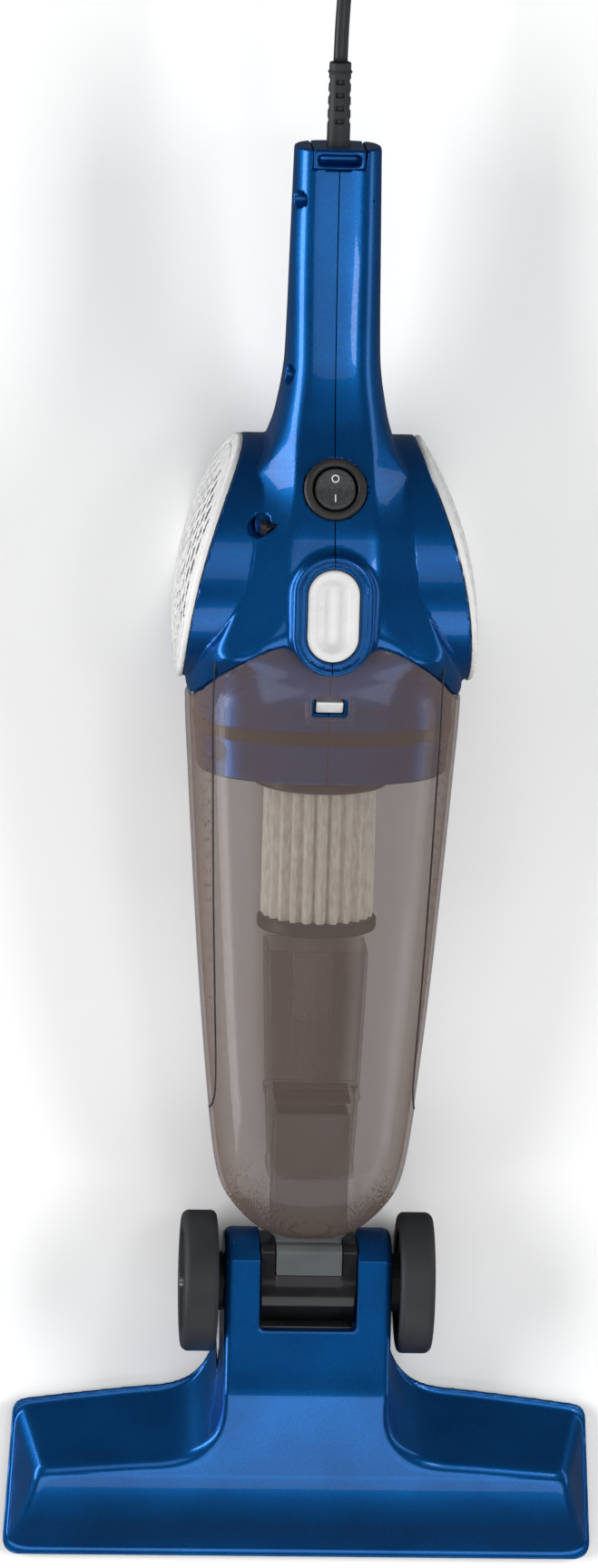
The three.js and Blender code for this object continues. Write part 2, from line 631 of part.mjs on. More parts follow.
function endCap() {
  const recess = box(-10, 10, 516.2, 521.6, 6.6, 30)
  return bodyForm(515, HANDLE_END, 0).intersect(box(-11.5, 11.5, 500, 540, -30, 30))
    .subtract(recess)
    .subtract(bar('y', 5.5, 500, 540))
}

function strainRelief() {
  return turned('y', [[0, 506.5], [8.4, 506.5], [8.4, 509.5], [5.2, 509.5], [5.2, 534], [4.9, 560], [4.3, 561], [0, 561]], 16)
}

function rocker() {
  const wedge = (side) => prism('x', [[0, 0], [side * 14, 2.4], [side * 14, 12], [0, 12]], -15, 15)
  return bar('z', 9.3, -8, 2, [0, 0], 32).subtract(wedge(1)).subtract(wedge(-1))
}

function makeControls() {
  const bezel = turned('z', [[10.2, -12], [12, -12], [12, -2.2], [14, -2.2], [14, 0.4], [13.2, 1.2], [10.8, 1.2],
    [10.2, 0.6], [10.2, -12]])
  const body = box(-8.5, 8.5, -10, 10, -25, -12.3)
  place(upper, 'switch_bezel', switchPlaced(bezel), blackGloss())
  place(upper, 'switch_body', switchPlaced(body), blackMatt())
  place(upper, 'switch_rocker', switchPlaced(rocker().rotate([-5.5, 0, 0])), blackGloss())

  const dish = new THREE.SphereGeometry(60, 32, 24)
  dish.translate(0, BUTTON_AT, BUTTON_TOP + 60 - 1.6)
  const button = prism('z', pill(BUTTON_HALF_WIDTH, BUTTON_HALF_LENGTH, BUTTON_AT), 46, BUTTON_TOP)
    .add(prism('z', pill(13.4, 22.8, BUTTON_AT), 46, 49.2))
    .subtract(solid(dish).intersect(prism('z', pill(9, 18.5, BUTTON_AT), 50, 90)))
  place(upper, 'release_button', button, white())
  const hook = box(-6, 6, LATCH_AT - 2.75, BUTTON_AT + 8, 43, 45.7)
    .add(box(-6, 6, LATCH_AT - 2.75, LATCH_AT + 2.75, 43, 52))
  place(upper, 'latch_hook', hook, white())
  const spring = turned('z', [[3, 29.8], [4.6, 29.8], [4.6, 42.7], [3, 42.7], [3, 29.8]], 20)
  place(upper, 'button_spring', spring.translate(0, BUTTON_AT, 0), steel())
}

function impeller() {
  let wheel = turned('y', [[4.4, 264], [30, 264], [30, 265.6], [8, 265.6], [7, 274], [4.4, 274], [4.4, 264]])
  for (let i = 0; i < 9; i++) {
    const blade = box(7, 29, 265, 273, -0.6, 0.6).rotate([0, i * 40, 0])
    wheel = wheel.add(blade)
  }
  return wheel
}

function makeMotor() {
  const shroud = turned('y', [[14, 260], [34, 260], [34, 280], [24.6, 280], [24.6, 278.4], [32.4, 278.4],
    [32.4, 261.6], [14, 261.6], [14, 260]])
  const can = turned('y', [[4.4, 281], [24, 281], [24, 340], [4.4, 340], [4.4, 338.4], [22.4, 338.4],
    [22.4, 282.6], [4.4, 282.6], [4.4, 281]])
  const armature = turned('y', [[0, 262], [4, 262], [4, 296], [14, 298], [14, 322], [8, 324], [8, 333], [4, 333],
    [4, 348], [0, 348]])
  const gasket = turned('y', [[24.4, 281.5], [36, 281.5], [36, 287], [24.4, 287], [24.4, 281.5]])
  const rearMount = turned('y', [[4.5, 340.3], [19, 340.3], [19, 344], [9, 346], [4.5, 346], [4.5, 340.3]])
  place(upper, 'fan_shroud', shroud, blackMatt())
  place(upper, 'motor_can', can, steel())
  place(upper, 'armature', armature, copper())
  place(upper, 'impeller', impeller(), greyPlastic())
  place(upper, 'motor_gasket', gasket, rubber())
  place(upper, 'motor_rear_mount', rearMount, rubber())
}

function pleatedPaper() {
  const pleats = 24
  const outline = Array.from({ length: 2 * pleats }, (_, i) => {
    const angle = Math.PI * i / pleats
    const radius = i % 2 ? 22 : 25.5
    return [radius * Math.cos(angle), radius * Math.sin(angle)]
  })
  return prism('y', outline, 172.3, 232.7).subtract(bar('y', 18.5, 160, 240, [0, 0], 24))
}

function makeFilter() {
  const flange = turned('y', [[18.5, 233], [31, 233], [31, 238], [19, 240.7], [18.5, 240.7], [18.5, 233]])
  const base = turned('y', [[0, 165], [26, 165], [27, 166], [27, 171], [26, 172], [0, 172]])
  const gasket = bodyForm(259, 265, CUP_WALL + 0.9).subtract(bodyForm(250, 270, SKIRT_INSET - GAP))
  place(upper, 'filter_flange', flange, greyPlastic())
  place(upper, 'pleated_filter', pleatedPaper(), paper())
  place(upper, 'filter_base', base, greyPlastic())
  place(upper, 'cup_gasket', gasket, rubber())
}

function makeHandUnit() {
  makeShells()
  for (const [name, side] of SIDES) {
    place(upper, `grille_${name}`, grille(side), white())
    place(upper, `exhaust_foam_${name}`, exhaustFoam(side), foam())
  }
  SCREWS.forEach((_, i) => place(upper, `housing_screw_${i + 1}`, housingScrew(i), steel()))
  place(upper, 'end_cap', endCap(), blue())
  makeControls()
  makeMotor()
  makeFilter()
  const supplyRoute = new THREE.CatmullRomCurve3([[0, 505, -2], [0, 480, -6], [2, 440, -8], [4, 412, -4], [3, 396, 8],
    [2, 388, 16.5]].map((p) => new THREE.Vector3(...p)))
  const motorRoute = new THREE.CatmullRomCurve3([[-4, 372, 12], [-6, 366, 4], [-10, 358, -6], [-14, 352, -9],
    [-16, 347, -12]].map((p) => new THREE.Vector3(...p)))
  place(upper, 'supply_lead', tube(supplyRoute, 2.4, 8, 14), blackMatt())
  place(upper, 'motor_lead', tube(motorRoute, 1.6, 8, 14), copper())
  place(upper, 'strain_relief', strainRelief(), rubber())
}

// ---- mains cord --------------------------------------------------------------------------------

const CORD_RADIUS = CORD_DIAMETER / 2
// Along the handle's line, down to the floor, then beside the coil.
const CORD_ROUTE = [[0, 559.3, 80.2], [0.3, 574, 81.4], [1, 589, 82], [2, 602, 80.8], [4, 614, 76.4],
  [7.5, 626, 67.6], [12.5, 637, 55], [18.5, 647, 41], [25, 657, 27.4], [31.5, 668, 15.8], [37, 680, 7.6],
  [40.6, 690, 4], [41.6, 696, CORD_RADIUS + 0.1]]
const TAIL_ROUTE = [[-33, 769.6, 9.6], [-45, 769.5, 9.8], [-57, 769, 10.6], [-68.6, 768.3, 11.4]]
const PLUG_AT = [-69.6, 768.2, 11.4] // where the lead enters the plug, which points along -X

function coil() {
  const half = COIL_COLUMNS * CORD_RADIUS
  const top = COIL_LAYERS * CORD_DIAMETER
  const edge = CORD_RADIUS * 0.8
  return turned('z', [[COIL_RADIUS - half, edge], [COIL_RADIUS - half + edge, 0], [COIL_RADIUS + half - edge, 0],
    [COIL_RADIUS + half, edge], [COIL_RADIUS + half, top - edge], [COIL_RADIUS + half - edge, top],
    [COIL_RADIUS - half + edge, top], [COIL_RADIUS - half, top - edge], [COIL_RADIUS - half, edge]], 28)
    .translate(COIL_CENTRE.x, COIL_CENTRE.y, 0)
}

const freeTube = (route, steps) =>
  tube(new THREE.CatmullRomCurve3(route.map((p) => new THREE.Vector3(...p))), CORD_RADIUS, 10, steps)

// Profile along the plug: a short sleeve, a waist to grip and a broad face with the two pins.
function plugBody() {
  const round = turned('x', [[0, 0], [5.2, 0], [6.4, -12], [9, -17], [10.2, -24], [18.2, -34], [18.6, -40], [17.6, -42],
    [0, -42]], 24)
  return round.intersect(box(-43, 1, -20, 20, -11.2, 11.2)).translate(...PLUG_AT)
}

function plugPin(side) {
  const pin = turned('x', [[0, -42.3], [2.4, -42.3], [2.4, -60], [1.6, -61], [0, -61]], 16)
  return pin.translate(PLUG_AT[0], PLUG_AT[1] + side * 9.3, PLUG_AT[2])
}

// The strap round the bundle of turns, at the coil's far side.
function coilTie() {
  const half = COIL_COLUMNS * CORD_RADIUS + 0.8
  const top = COIL_LAYERS * CORD_DIAMETER + 0.4
  const y = COIL_CENTRE.y + COIL_RADIUS
  const x = COIL_CENTRE.x
  return box(x - 4, x + 4, y - half - 1.4, y + half + 1.4, 0.05, top + 1.2)
    .subtract(box(x - 5, x + 5, y - half, y + half, -1, top))
}

function makeCord() {
  place(model, 'mains_cord', freeTube(CORD_ROUTE, 14), rubber())
  place(model, 'cord_coil', coil(), rubber())
  place(model, 'coil_tie', coilTie(), blackMatt())
  place(model, 'cord_tail', freeTube(TAIL_ROUTE, 4), rubber())
  place(model, 'plug_body', plugBody(), rubber())
  place(model, 'plug_pin_line', plugPin(1), brass())
  place(model, 'plug_pin_neutral', plugPin(-1), brass())
}

// Puts the origin in the middle of the footprint, on the floor, leaving the free cord out.
const CORD_PIECES = ['strain_relief', 'mains_cord', 'cord_coil', 'coil_tie', 'cord_tail', 'plug_body',
  'plug_pin_line', 'plug_pin_neutral']
function centre() {
  model.updateMatrixWorld(true)
  const bounds = new THREE.Box3()
  model.traverse((piece) => {
    if (piece.isMesh && !CORD_PIECES.includes(piece.name)) bounds.expandByObject(piece, true)
  })
  const middle = bounds.getCenter(new THREE.Vector3())
  model.position.set(-middle.x, -middle.y, -bounds.min.z)
}

// ---- assembly ----------------------------------------------------------------------------------

makeHead()
makeCup()
makeHandUnit()
makeCord()
centre()

export default model
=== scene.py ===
"""Upright stick vacuum cleaner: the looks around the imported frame.

Shapes are worked out in millimetres in two spaces of their own and then placed in the frame:
HEAD space has x across, u forward of the hinge axis and z up from the floor.
BODY space has x across, s along the body from the hinge axis and f out of its front.
"""

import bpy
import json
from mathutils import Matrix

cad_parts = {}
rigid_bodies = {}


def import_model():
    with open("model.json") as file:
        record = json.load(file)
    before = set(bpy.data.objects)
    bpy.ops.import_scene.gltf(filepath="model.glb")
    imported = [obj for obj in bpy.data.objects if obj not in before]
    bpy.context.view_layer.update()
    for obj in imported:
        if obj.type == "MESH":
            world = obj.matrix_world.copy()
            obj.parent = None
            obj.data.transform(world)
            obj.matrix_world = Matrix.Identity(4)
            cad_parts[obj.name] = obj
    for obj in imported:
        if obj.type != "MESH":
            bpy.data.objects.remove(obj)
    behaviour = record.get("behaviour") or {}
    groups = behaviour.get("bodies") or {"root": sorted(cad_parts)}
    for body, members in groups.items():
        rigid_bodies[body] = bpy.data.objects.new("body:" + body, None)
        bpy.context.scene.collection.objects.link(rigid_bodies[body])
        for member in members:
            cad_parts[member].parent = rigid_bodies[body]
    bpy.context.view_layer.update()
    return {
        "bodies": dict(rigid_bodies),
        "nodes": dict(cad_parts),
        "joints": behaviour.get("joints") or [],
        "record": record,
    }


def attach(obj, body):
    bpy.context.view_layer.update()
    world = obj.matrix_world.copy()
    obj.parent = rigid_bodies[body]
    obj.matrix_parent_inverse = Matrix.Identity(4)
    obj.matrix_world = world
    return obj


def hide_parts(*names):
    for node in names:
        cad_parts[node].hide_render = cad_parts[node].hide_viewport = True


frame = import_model()

import json
import math

import bmesh
import bpy
import numpy as np
from mathutils import Matrix, Vector

JOINTS = {joint["name"]: joint for joint in frame["joints"]}
HINGE = Vector(JOINTS["body_recline"]["pos_m"])
LEAN = math.atan2(JOINTS["cup_release"]["axis"][2], JOINTS["cup_release"]["axis"][1])
MM = 0.001

# Rows are where x, u, z (or x, s, f) in millimetres go in the frame, in metres.
HEAD = Matrix.Translation((0, HINGE.y, 0)) @ Matrix.Diagonal((MM, -MM, MM, 1))
BODY = Matrix.Translation(HINGE) @ Matrix.Rotation(LEAN, 4, "X") @ Matrix.Scale(MM, 4)

# ---- camera ----

CAMERA_DISTANCE = 5.0
CAMERA_LENS = 253.6
CAMERA_TARGET = Vector((-0.0088, 0.0345, 0.04))
CAMERA_SIDEWAYS = math.radians(-3.65)  # towards -X
CAMERA_LEAN = math.radians(7.1)  # towards +Y
CAMERA_ROLL = math.radians(1.27)


def make_camera():
    toward = Vector((
        math.sin(CAMERA_SIDEWAYS) * math.cos(CAMERA_LEAN),
        math.sin(CAMERA_LEAN),
        math.cos(CAMERA_SIDEWAYS) * math.cos(CAMERA_LEAN)))
    right = Vector((0, 1, 0)).cross(toward).normalized()
    up = toward.cross(right)
    turn = Matrix((right, up, toward)).transposed() @ Matrix.Rotation(CAMERA_ROLL, 3, "Z")
    data = bpy.data.cameras.new("camera")
    data.lens = CAMERA_LENS
    data.sensor_width = 36
    data.clip_start, data.clip_end = 0.1, 50
    camera = bpy.data.objects.new("camera", data)
    camera.matrix_world = Matrix.Translation(CAMERA_TARGET + toward * CAMERA_DISTANCE) @ turn.to_4x4()
    bpy.context.scene.collection.objects.link(camera)
    bpy.context.scene.camera = camera


# ---- materials ----


def new_material(name):
    material = bpy.data.materials.new(name)
    material.use_nodes = True
    nodes = material.node_tree.nodes
    return material, nodes, material.node_tree.links, nodes["Principled BSDF"]


def set_inputs(shader, **values):
    for name, value in values.items():
        shader.inputs[name.replace("_", " ")].default_value = value


def noise(nodes, links, scale, detail=3.0, stretch=(1, 1, 1)):
    place = nodes.new("ShaderNodeTexCoord")
    mapping = nodes.new("ShaderNodeMapping")
    mapping.inputs["Scale"].default_value = stretch
    texture = nodes.new("ShaderNodeTexNoise")
    texture.inputs["Scale"].default_value = scale
    texture.inputs["Detail"].default_value = detail
    links.new(place.outputs["Object"], mapping.inputs["Vector"])
    links.new(mapping.outputs["Vector"], texture.inputs["Vector"])
    return texture.outputs["Fac"]


def spread(nodes, links, source, low, high, start=0.3, end=0.7):
    """Maps a 0 to 1 value onto a range, or between two colours."""
    if isinstance(low, tuple):
        ramp = nodes.new("ShaderNodeValToRGB")
        ramp.color_ramp.elements[0].position, ramp.color_ramp.elements[1].position = start, end
        ramp.color_ramp.elements[0].color = (*low, 1)
        ramp.color_ramp.elements[1].color = (*high, 1)
        links.new(source, ramp.inputs["Fac"])
        return ramp.outputs["Color"]
    change = nodes.new("ShaderNodeMapRange")
    for name, value in (("From Min", start), ("From Max", end), ("To Min", low), ("To Max", high)):
        change.inputs[name].default_value = value
    links.new(source, change.inputs["Value"])
    return change.outputs["Result"]


def bump(nodes, links, shader, height, strength, distance):
    node = nodes.new("ShaderNodeBump")
    node.inputs["Strength"].default_value = strength
    node.inputs["Distance"].default_value = distance
    links.new(height, node.inputs["Height"])
    links.new(node.outputs["Normal"], shader.inputs["Normal"])


def plastic(name, dark, light, rough, grain=900, grain_depth=0.00004, mottle=40):
    """Moulded plastic, rubber or coated metal: mottled colour, uneven gloss and a fine grain."""
    material, nodes, links, shader = new_material(name)
    patches = noise(nodes, links, mottle, 5)
    links.new(spread(nodes, links, patches, dark, light), shader.inputs["Base Color"])
    links.new(spread(nodes, links, noise(nodes, links, mottle * 4, 4), *rough), shader.inputs["Roughness"])
    bump(nodes, links, shader, noise(nodes, links, grain, 2), 0.5, grain_depth)
    return material


def blue_lacquer():
    """Metallic blue under clear lacquer: flakes sparkle in the base, whose gloss is uneven under an even
    coat.
    """
    material, nodes, links, shader = new_material("blue_lacquer")
    place = nodes.new("ShaderNodeTexCoord")
    flakes = nodes.new("ShaderNodeTexVoronoi")
    flakes.inputs["Scale"].default_value = 3500
    links.new(place.outputs["Object"], flakes.inputs["Vector"])
    clouds = noise(nodes, links, 26, 6)
    tone = spread(nodes, links, clouds, (0.0, 0.13, 0.47), (0.001, 0.17, 0.59), 0.35, 0.65)
    mixer = nodes.new("ShaderNodeMix")
    mixer.data_type = "RGBA"
    mixer.blend_type = "MULTIPLY"
    mixer.inputs["Factor"].default_value = 0.35
    links.new(tone, mixer.inputs["A"])
    links.new(flakes.outputs["Color"], mixer.inputs["B"])
    links.new(mixer.outputs["Result"], shader.inputs["Base Color"])
    links.new(spread(nodes, links, noise(nodes, links, 1800, 2), 0.26, 0.4), shader.inputs["Roughness"])
    bump(nodes, links, shader, flakes.outputs["Distance"], 0.12, 0.00005)
    set_inputs(shader, Metallic=0.85, Coat_Weight=0.5, Coat_Roughness=0.03, Coat_IOR=1.5)
    return material


def clear_plastic(name, colour, alpha, edge_alpha):
    """Thin clear moulding: it shows what is behind it, and more of itself at a glancing angle."""
    material, nodes, links, shader = new_material(name)
    haze = noise(nodes, links, 18, 4)
    tint = spread(nodes, links, haze, tuple(0.94 * c for c in colour), colour)
    links.new(tint, shader.inputs["Base Color"])
    facing = nodes.new("ShaderNodeLayerWeight")
    facing.inputs["Blend"].default_value = 0.35
    cover = spread(nodes, links, facing.outputs["Facing"], alpha, edge_alpha, 0.15, 1.0)
    links.new(cover, shader.inputs["Alpha"])
    links.new(spread(nodes, links, noise(nodes, links, 300, 3), 0.04, 0.09), shader.inputs["Roughness"])
    set_inputs(shader, IOR=1.49)
    return material


def filter_paper():
    material, nodes, links, shader = new_material("filter_paper")
    fibres = noise(nodes, links, 700, 6, (1, 0.25, 1))
    links.new(spread(nodes, links, fibres, (0.66, 0.6, 0.52), (0.9, 0.86, 0.79)), shader.inputs["Base Color"])
    bump(nodes, links, shader, fibres, 0.6, 0.0002)
    set_inputs(shader, Roughness=0.95)
    return material


def brushed(name, dark, light):
    material, nodes, links, shader = new_material(name)
    lines = noise(nodes, links, 300, 4, (0.05, 1, 1))
    links.new(spread(nodes, links, lines, dark, light), shader.inputs["Base Color"])
    links.new(spread(nodes, links, lines, 0.22, 0.4), shader.inputs["Roughness"])
    bump(nodes, links, shader, lines, 0.2, 0.00002)
    set_inputs(shader, Metallic=1.0)
    return material


def make_materials():
    # name: (dark, light, roughness, and then grain, its depth and the mottle's scale where they matter)
    moulded = {
        "black_gloss": ((0.008, 0.008, 0.009), (0.014, 0.014, 0.016), (0.12, 0.2), 1400, 0.00001),
        "black_matt": ((0.012, 0.0125, 0.0135), (0.022, 0.023, 0.025), (0.5, 0.62)),
        "tyre": ((0.02, 0.0215, 0.024), (0.03, 0.032, 0.036), (0.5, 0.62), 700, 0.00006),
        "rubber": ((0.018, 0.019, 0.021), (0.03, 0.031, 0.034), (0.45, 0.6), 1200),
        "cord": ((0.014, 0.015, 0.017), (0.024, 0.025, 0.028), (0.34, 0.46), 600, 0.00005),
        "grey": ((0.075, 0.082, 0.086), (0.1, 0.108, 0.112), (0.3, 0.42)),
        "dark_grey": ((0.03, 0.036, 0.042), (0.045, 0.052, 0.06), (0.3, 0.42)),
        "white": ((0.66, 0.665, 0.655), (0.72, 0.725, 0.715), (0.22, 0.34), 1200, 0.00002),
        "switch_ring": ((0.02, 0.018, 0.018), (0.03, 0.027, 0.026), (0.3, 0.38), 1500, 0.00002),
        "rocker": ((0.028, 0.029, 0.032), (0.06, 0.062, 0.066), (0.45, 0.6), 1100, 0.00025, 900),
        "marks": ((0.6, 0.68, 0.72), (0.72, 0.8, 0.84), (0.4, 0.5)),
        # the next colour, nearly black, is painted shade: it stands for the shadow in the step of the cup's
        # front panel
        "painted_step_shade": ((0.02, 0.018, 0.02), (0.035, 0.032, 0.034), (0.25, 0.4)),
        "foam": ((0.01, 0.01, 0.011), (0.05, 0.05, 0.052), (0.9, 1.0), 450, 0.0006, 600),
        "copper": ((0.3, 0.07, 0.03), (0.48, 0.14, 0.06), (0.3, 0.4), 500, 0.0001),
        "felt": ((0.22, 0.012, 0.02), (0.42, 0.03, 0.045), (0.85, 1.0), 900, 0.0005, 500),
    }
    made = {name: plastic(name, *look) for name, look in moulded.items()}
    made["blue"] = blue_lacquer()
    made["smoke"] = clear_plastic("smoke_plastic", (0.19, 0.135, 0.115), 0.27, 0.68)
    made["clear"] = clear_plastic("clear_plastic", (0.2, 0.19, 0.2), 0.04, 0.6)
    made["paper"] = filter_paper()
    made["steel"] = brushed("plated_steel", (0.45, 0.46, 0.47), (0.68, 0.69, 0.7))
    made["brass"] = brushed("nickel_brass", (0.62, 0.58, 0.5), (0.8, 0.77, 0.7))
    return made


# ---- meshes ----


def add_piece(name, mesh, material, body, replaces=()):
    piece = bpy.data.objects.new(name, mesh)
    bpy.context.scene.collection.objects.link(piece)
    mesh.materials.clear()
    mesh.materials.append(material)
    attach(piece, body)
    if replaces:
        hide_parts(*replaces)
    return piece


def mesh_from(name, points, faces, space):
    """A mesh from points in millimetres in one of the spaces, with its faces pointing out."""
    mesh = bpy.data.meshes.new(name)
    turn = np.array(space)
    placed = np.asarray(points, float) @ turn[:3, :3].T + turn[:3, 3]
    if np.linalg.det(turn[:3, :3]) < 0:
        faces = [tuple(reversed(face)) for face in faces]
    mesh.from_pydata(placed.tolist(), [], [tuple(map(int, face)) for face in faces])
    mesh.validate()
    mesh.polygons.foreach_set("use_smooth", [True] * len(mesh.polygons))
    mesh.update()
    return mesh


def bands(rings, count):
    """Quads that join each ring of points to the next one; rings are numbered in the order they were made."""
    return [(a * count + i, a * count + (i + 1) % count, b * count + (i + 1) % count, b * count + i)
            for a, b in zip(rings, rings[1:]) for i in range(count)]


def polished_node(name, material, width_mm=0.3):
    """A CAD node that keeps its shape, with its edges softened and a better material."""
    node = frame["nodes"][name]
    node.data.materials.clear()
    node.data.materials.append(material)
    modifier = node.modifiers.new("soft edges", "BEVEL")
    modifier.width = width_mm * MM
    modifier.segments = 2
    modifier.limit_method = "ANGLE"
    modifier.angle_limit = math.radians(35)
    modifier.harden_normals = False
    return node


def skinned(node, field, low, high, cell, material, body, space=BODY, planes=()):
    """The piece that takes a CAD node's place, made from a field."""
    mesh = skin(f"{node}_skin", field, low, high, cell, space, planes)
    return add_piece(f"{node}_skin", mesh, material, body, [node])


def turned(node, profile, axis, material, body, space=BODY, centre=(0, 0, 0), sides=96):
    """The piece that takes a CAD node's place, turned from a profile."""
    mesh = lathe(f"{node}_skin", profile, centre, axis, space, sides)
    return add_piece(f"{node}_skin", mesh, material, body, [node])


# ---- smooth fields ----
# A field is negative inside a shape and about the distance to its surface, in millimetres.


def join(a, b, soft=0.0):
    """Union, with a fillet about half as wide as `soft`."""
    if not soft:
        return np.minimum(a, b)
    h = np.maximum(soft - np.abs(a - b), 0) / soft
    return np.minimum(a, b) - h * h * soft / 4


def both(a, b, soft=0.0):
    """What is inside both, with a rounded edge."""
    return -join(-a, -b, soft)


def cut(a, b, soft=0.0):
    """The first without the second."""
    return both(a, -b, soft)


def through(*points):
    """A smooth curve through (place, value) points that never overshoots them."""
    at, value = (np.array(row, float) for row in zip(*sorted(points)))
    step, slope = np.diff(at), np.diff(value) / np.diff(at)
    tangent = np.zeros_like(value)
    same = slope[:-1] * slope[1:] > 0
    inner = np.where(same, 2 * slope[:-1] * slope[1:] / np.where(same, slope[:-1] + slope[1:], 1), 0)
    tangent[1:-1] = inner
    tangent[0], tangent[-1] = slope[0], slope[-1]

    def curve(t):
        t = np.clip(t, at[0], at[-1])
        i = np.clip(np.searchsorted(at, t, side="right") - 1, 0, len(step) - 1)
        h = step[i]
        k = (t - at[i]) / h
        return (value[i] * (1 + 2 * k) * (1 - k) ** 2 + tangent[i] * h * k * (1 - k) ** 2
                + value[i + 1] * k * k * (3 - 2 * k) + tangent[i + 1] * h * k * k * (k - 1))

    return curve


def gradient(field, points, step=0.05):
    columns = []
    for axis in range(3):
        offset = np.zeros(3)
        offset[axis] = step
        columns.append((field(*(points + offset).T) - field(*(points - offset).T)) / (2 * step))
    return np.stack(columns, 1)


CORNERS = [(i, j, k) for i in (0, 1) for j in (0, 1) for k in (0, 1)]
EDGES = [(a, b) for a in range(8) for b in range(a + 1, 8)
         if sum(abs(p - q) for p, q in zip(CORNERS[a], CORNERS[b])) == 1]


def skin(name, field, low, high, cell, space, planes=()):
    """A smooth quad mesh of a field's surface, cut clean at each (axis, side, place) plane:
    side 1 keeps what is above the plane and -1 what is below it."""
    low, high = np.array(low, float), np.array(high, float)
    counts = np.ceil((high - low) / cell).astype(int) + 1
    axes = [low[i] + cell * np.arange(counts[i]) for i in range(3)]
    grid = np.empty(counts, np.float32)
    for i in range(0, counts[0], 24):
        x, y, z = np.meshgrid(axes[0][i:i + 24], axes[1], axes[2], indexing="ij")
        value = field(x, y, z)
        for axis, side, place in planes:
            value = np.maximum(value, side * (place - (x, y, z)[axis]))
        grid[i:i + 24] = value
    inside = grid < 0
    corner = [inside[i:counts[0] - 1 + i, j:counts[1] - 1 + j, k:counts[2] - 1 + k] for i, j, k in CORNERS]
    total = sum(c.astype(np.int8) for c in corner)
    active = (total > 0) & (total < 8)
    index = np.full(active.shape, -1)
    index[active] = np.arange(active.sum())
    cells = np.argwhere(active)
    values = np.stack([grid[tuple((cells + c).T)] for c in CORNERS], 1)
    crossing, hits = np.zeros((len(cells), 3)), np.zeros(len(cells))
    for a, b in EDGES:
        mixed = (values[:, a] < 0) != (values[:, b] < 0)
        t = values[mixed, a] / (values[mixed, a] - values[mixed, b])
        start, end = np.array(CORNERS[a], float), np.array(CORNERS[b], float)
        crossing[mixed] += start + t[:, None] * (end - start)
        hits[mixed] += 1
    points = low + cell * (cells + crossing / hits[:, None])

    held = np.zeros((len(points), 3), bool)
    for axis, side, place in planes:
        near = np.abs(points[:, axis] - place) < 0.62 * cell
        points[near, axis] = place
        held[near, axis] = True
    flat = held.any(1)
    for _ in range(4):
        value = field(*points.T)
        slope = gradient(field, points)
        slope[held] = 0
        moving = ~flat | (np.abs(value) < 0.9 * cell)
        size = np.maximum((slope * slope).sum(1), 0.05)
        move = -(value / size)[:, None] * slope
        length = np.linalg.norm(move, axis=1, keepdims=True)
        move *= np.minimum(1, 0.4 * cell / np.maximum(length, 1e-9))
        points[moving] += move[moving]

    faces = []
    for axis in range(3):
        first = [slice(None)] * 3
        second = [slice(None)] * 3
        first[axis], second[axis] = slice(0, -1), slice(1, None)
        a, b = inside[tuple(first)], inside[tuple(second)]
        others = [(axis + 1) % 3, (axis + 2) % 3]
        edges = np.argwhere(a != b)
        keep = np.ones(len(edges), bool)
        for o in others:
            keep &= (edges[:, o] > 0) & (edges[:, o] < counts[o] - 1)
        edges = edges[keep]
        out = a[tuple(edges.T)]
        quad = []
        for da, db in ((1, 1), (0, 1), (0, 0), (1, 0)):
            at = edges.copy()
            at[:, others[0]] -= da
            at[:, others[1]] -= db
            quad.append(index[tuple(at.T)])
        quad = np.stack(quad, 1)
        faces.append(np.where(out[:, None], quad, quad[:, ::-1]))
    faces = np.concatenate(faces)

    normals = gradient(field, points)
    normals /= np.maximum(np.linalg.norm(normals, axis=1, keepdims=True), 1e-9)
    per_corner = normals[faces]
    for axis, side, place in planes:
        on_plane = held[faces][:, :, axis].all(1)
        per_corner[on_plane] = -side * np.eye(3)[axis]
    turn = np.array(space)
    placed = points @ turn[:3, :3].T + turn[:3, 3]
    direction = np.linalg.inv(turn[:3, :3])
    per_corner = per_corner @ direction
    per_corner /= np.linalg.norm(per_corner, axis=2, keepdims=True)
    if np.linalg.det(turn[:3, :3]) < 0:
        faces, per_corner = faces[:, ::-1], per_corner[:, ::-1]
    mesh = bpy.data.meshes.new(name)
    mesh.from_pydata(placed.tolist(), [], faces.tolist())
    mesh.polygons.foreach_set("use_smooth", [True] * len(mesh.polygons))
    mesh.normals_split_custom_set(per_corner.reshape(-1, 3).tolist())
    mesh.update()
    return mesh


# ---- cord ----

CORD_DIAMETER = 6.4
CORD_ROUTE = [
    (0, 559.3, 80.2), (0.3, 574, 81.4), (1, 589, 82), (2, 602, 80.8), (4, 614, 76.4), (7.5, 626, 67.6),
    (12.5, 637, 55), (18.5, 647, 41), (25, 657, 27.4), (31.5, 668, 15.8), (37, 680, 7.6), (40.6, 690, 4),
    (41.6, 696, 3.3)]
TAIL_ROUTE = [(-33, 769.6, 9.6), (-45, 769.5, 9.8), (-57, 769, 10.6), (-68.6, 768.3, 11.4)]
COIL_CENTRE = (-6.0, 722.0)
COIL_RADIUS = 38.0
COIL_COLUMNS = 4
COIL_LAYERS = 5
PLUG_AT = (-69.6, 768.2, 11.4)  # where the lead enters the plug, which points along -X
TURN_POINTS = 36


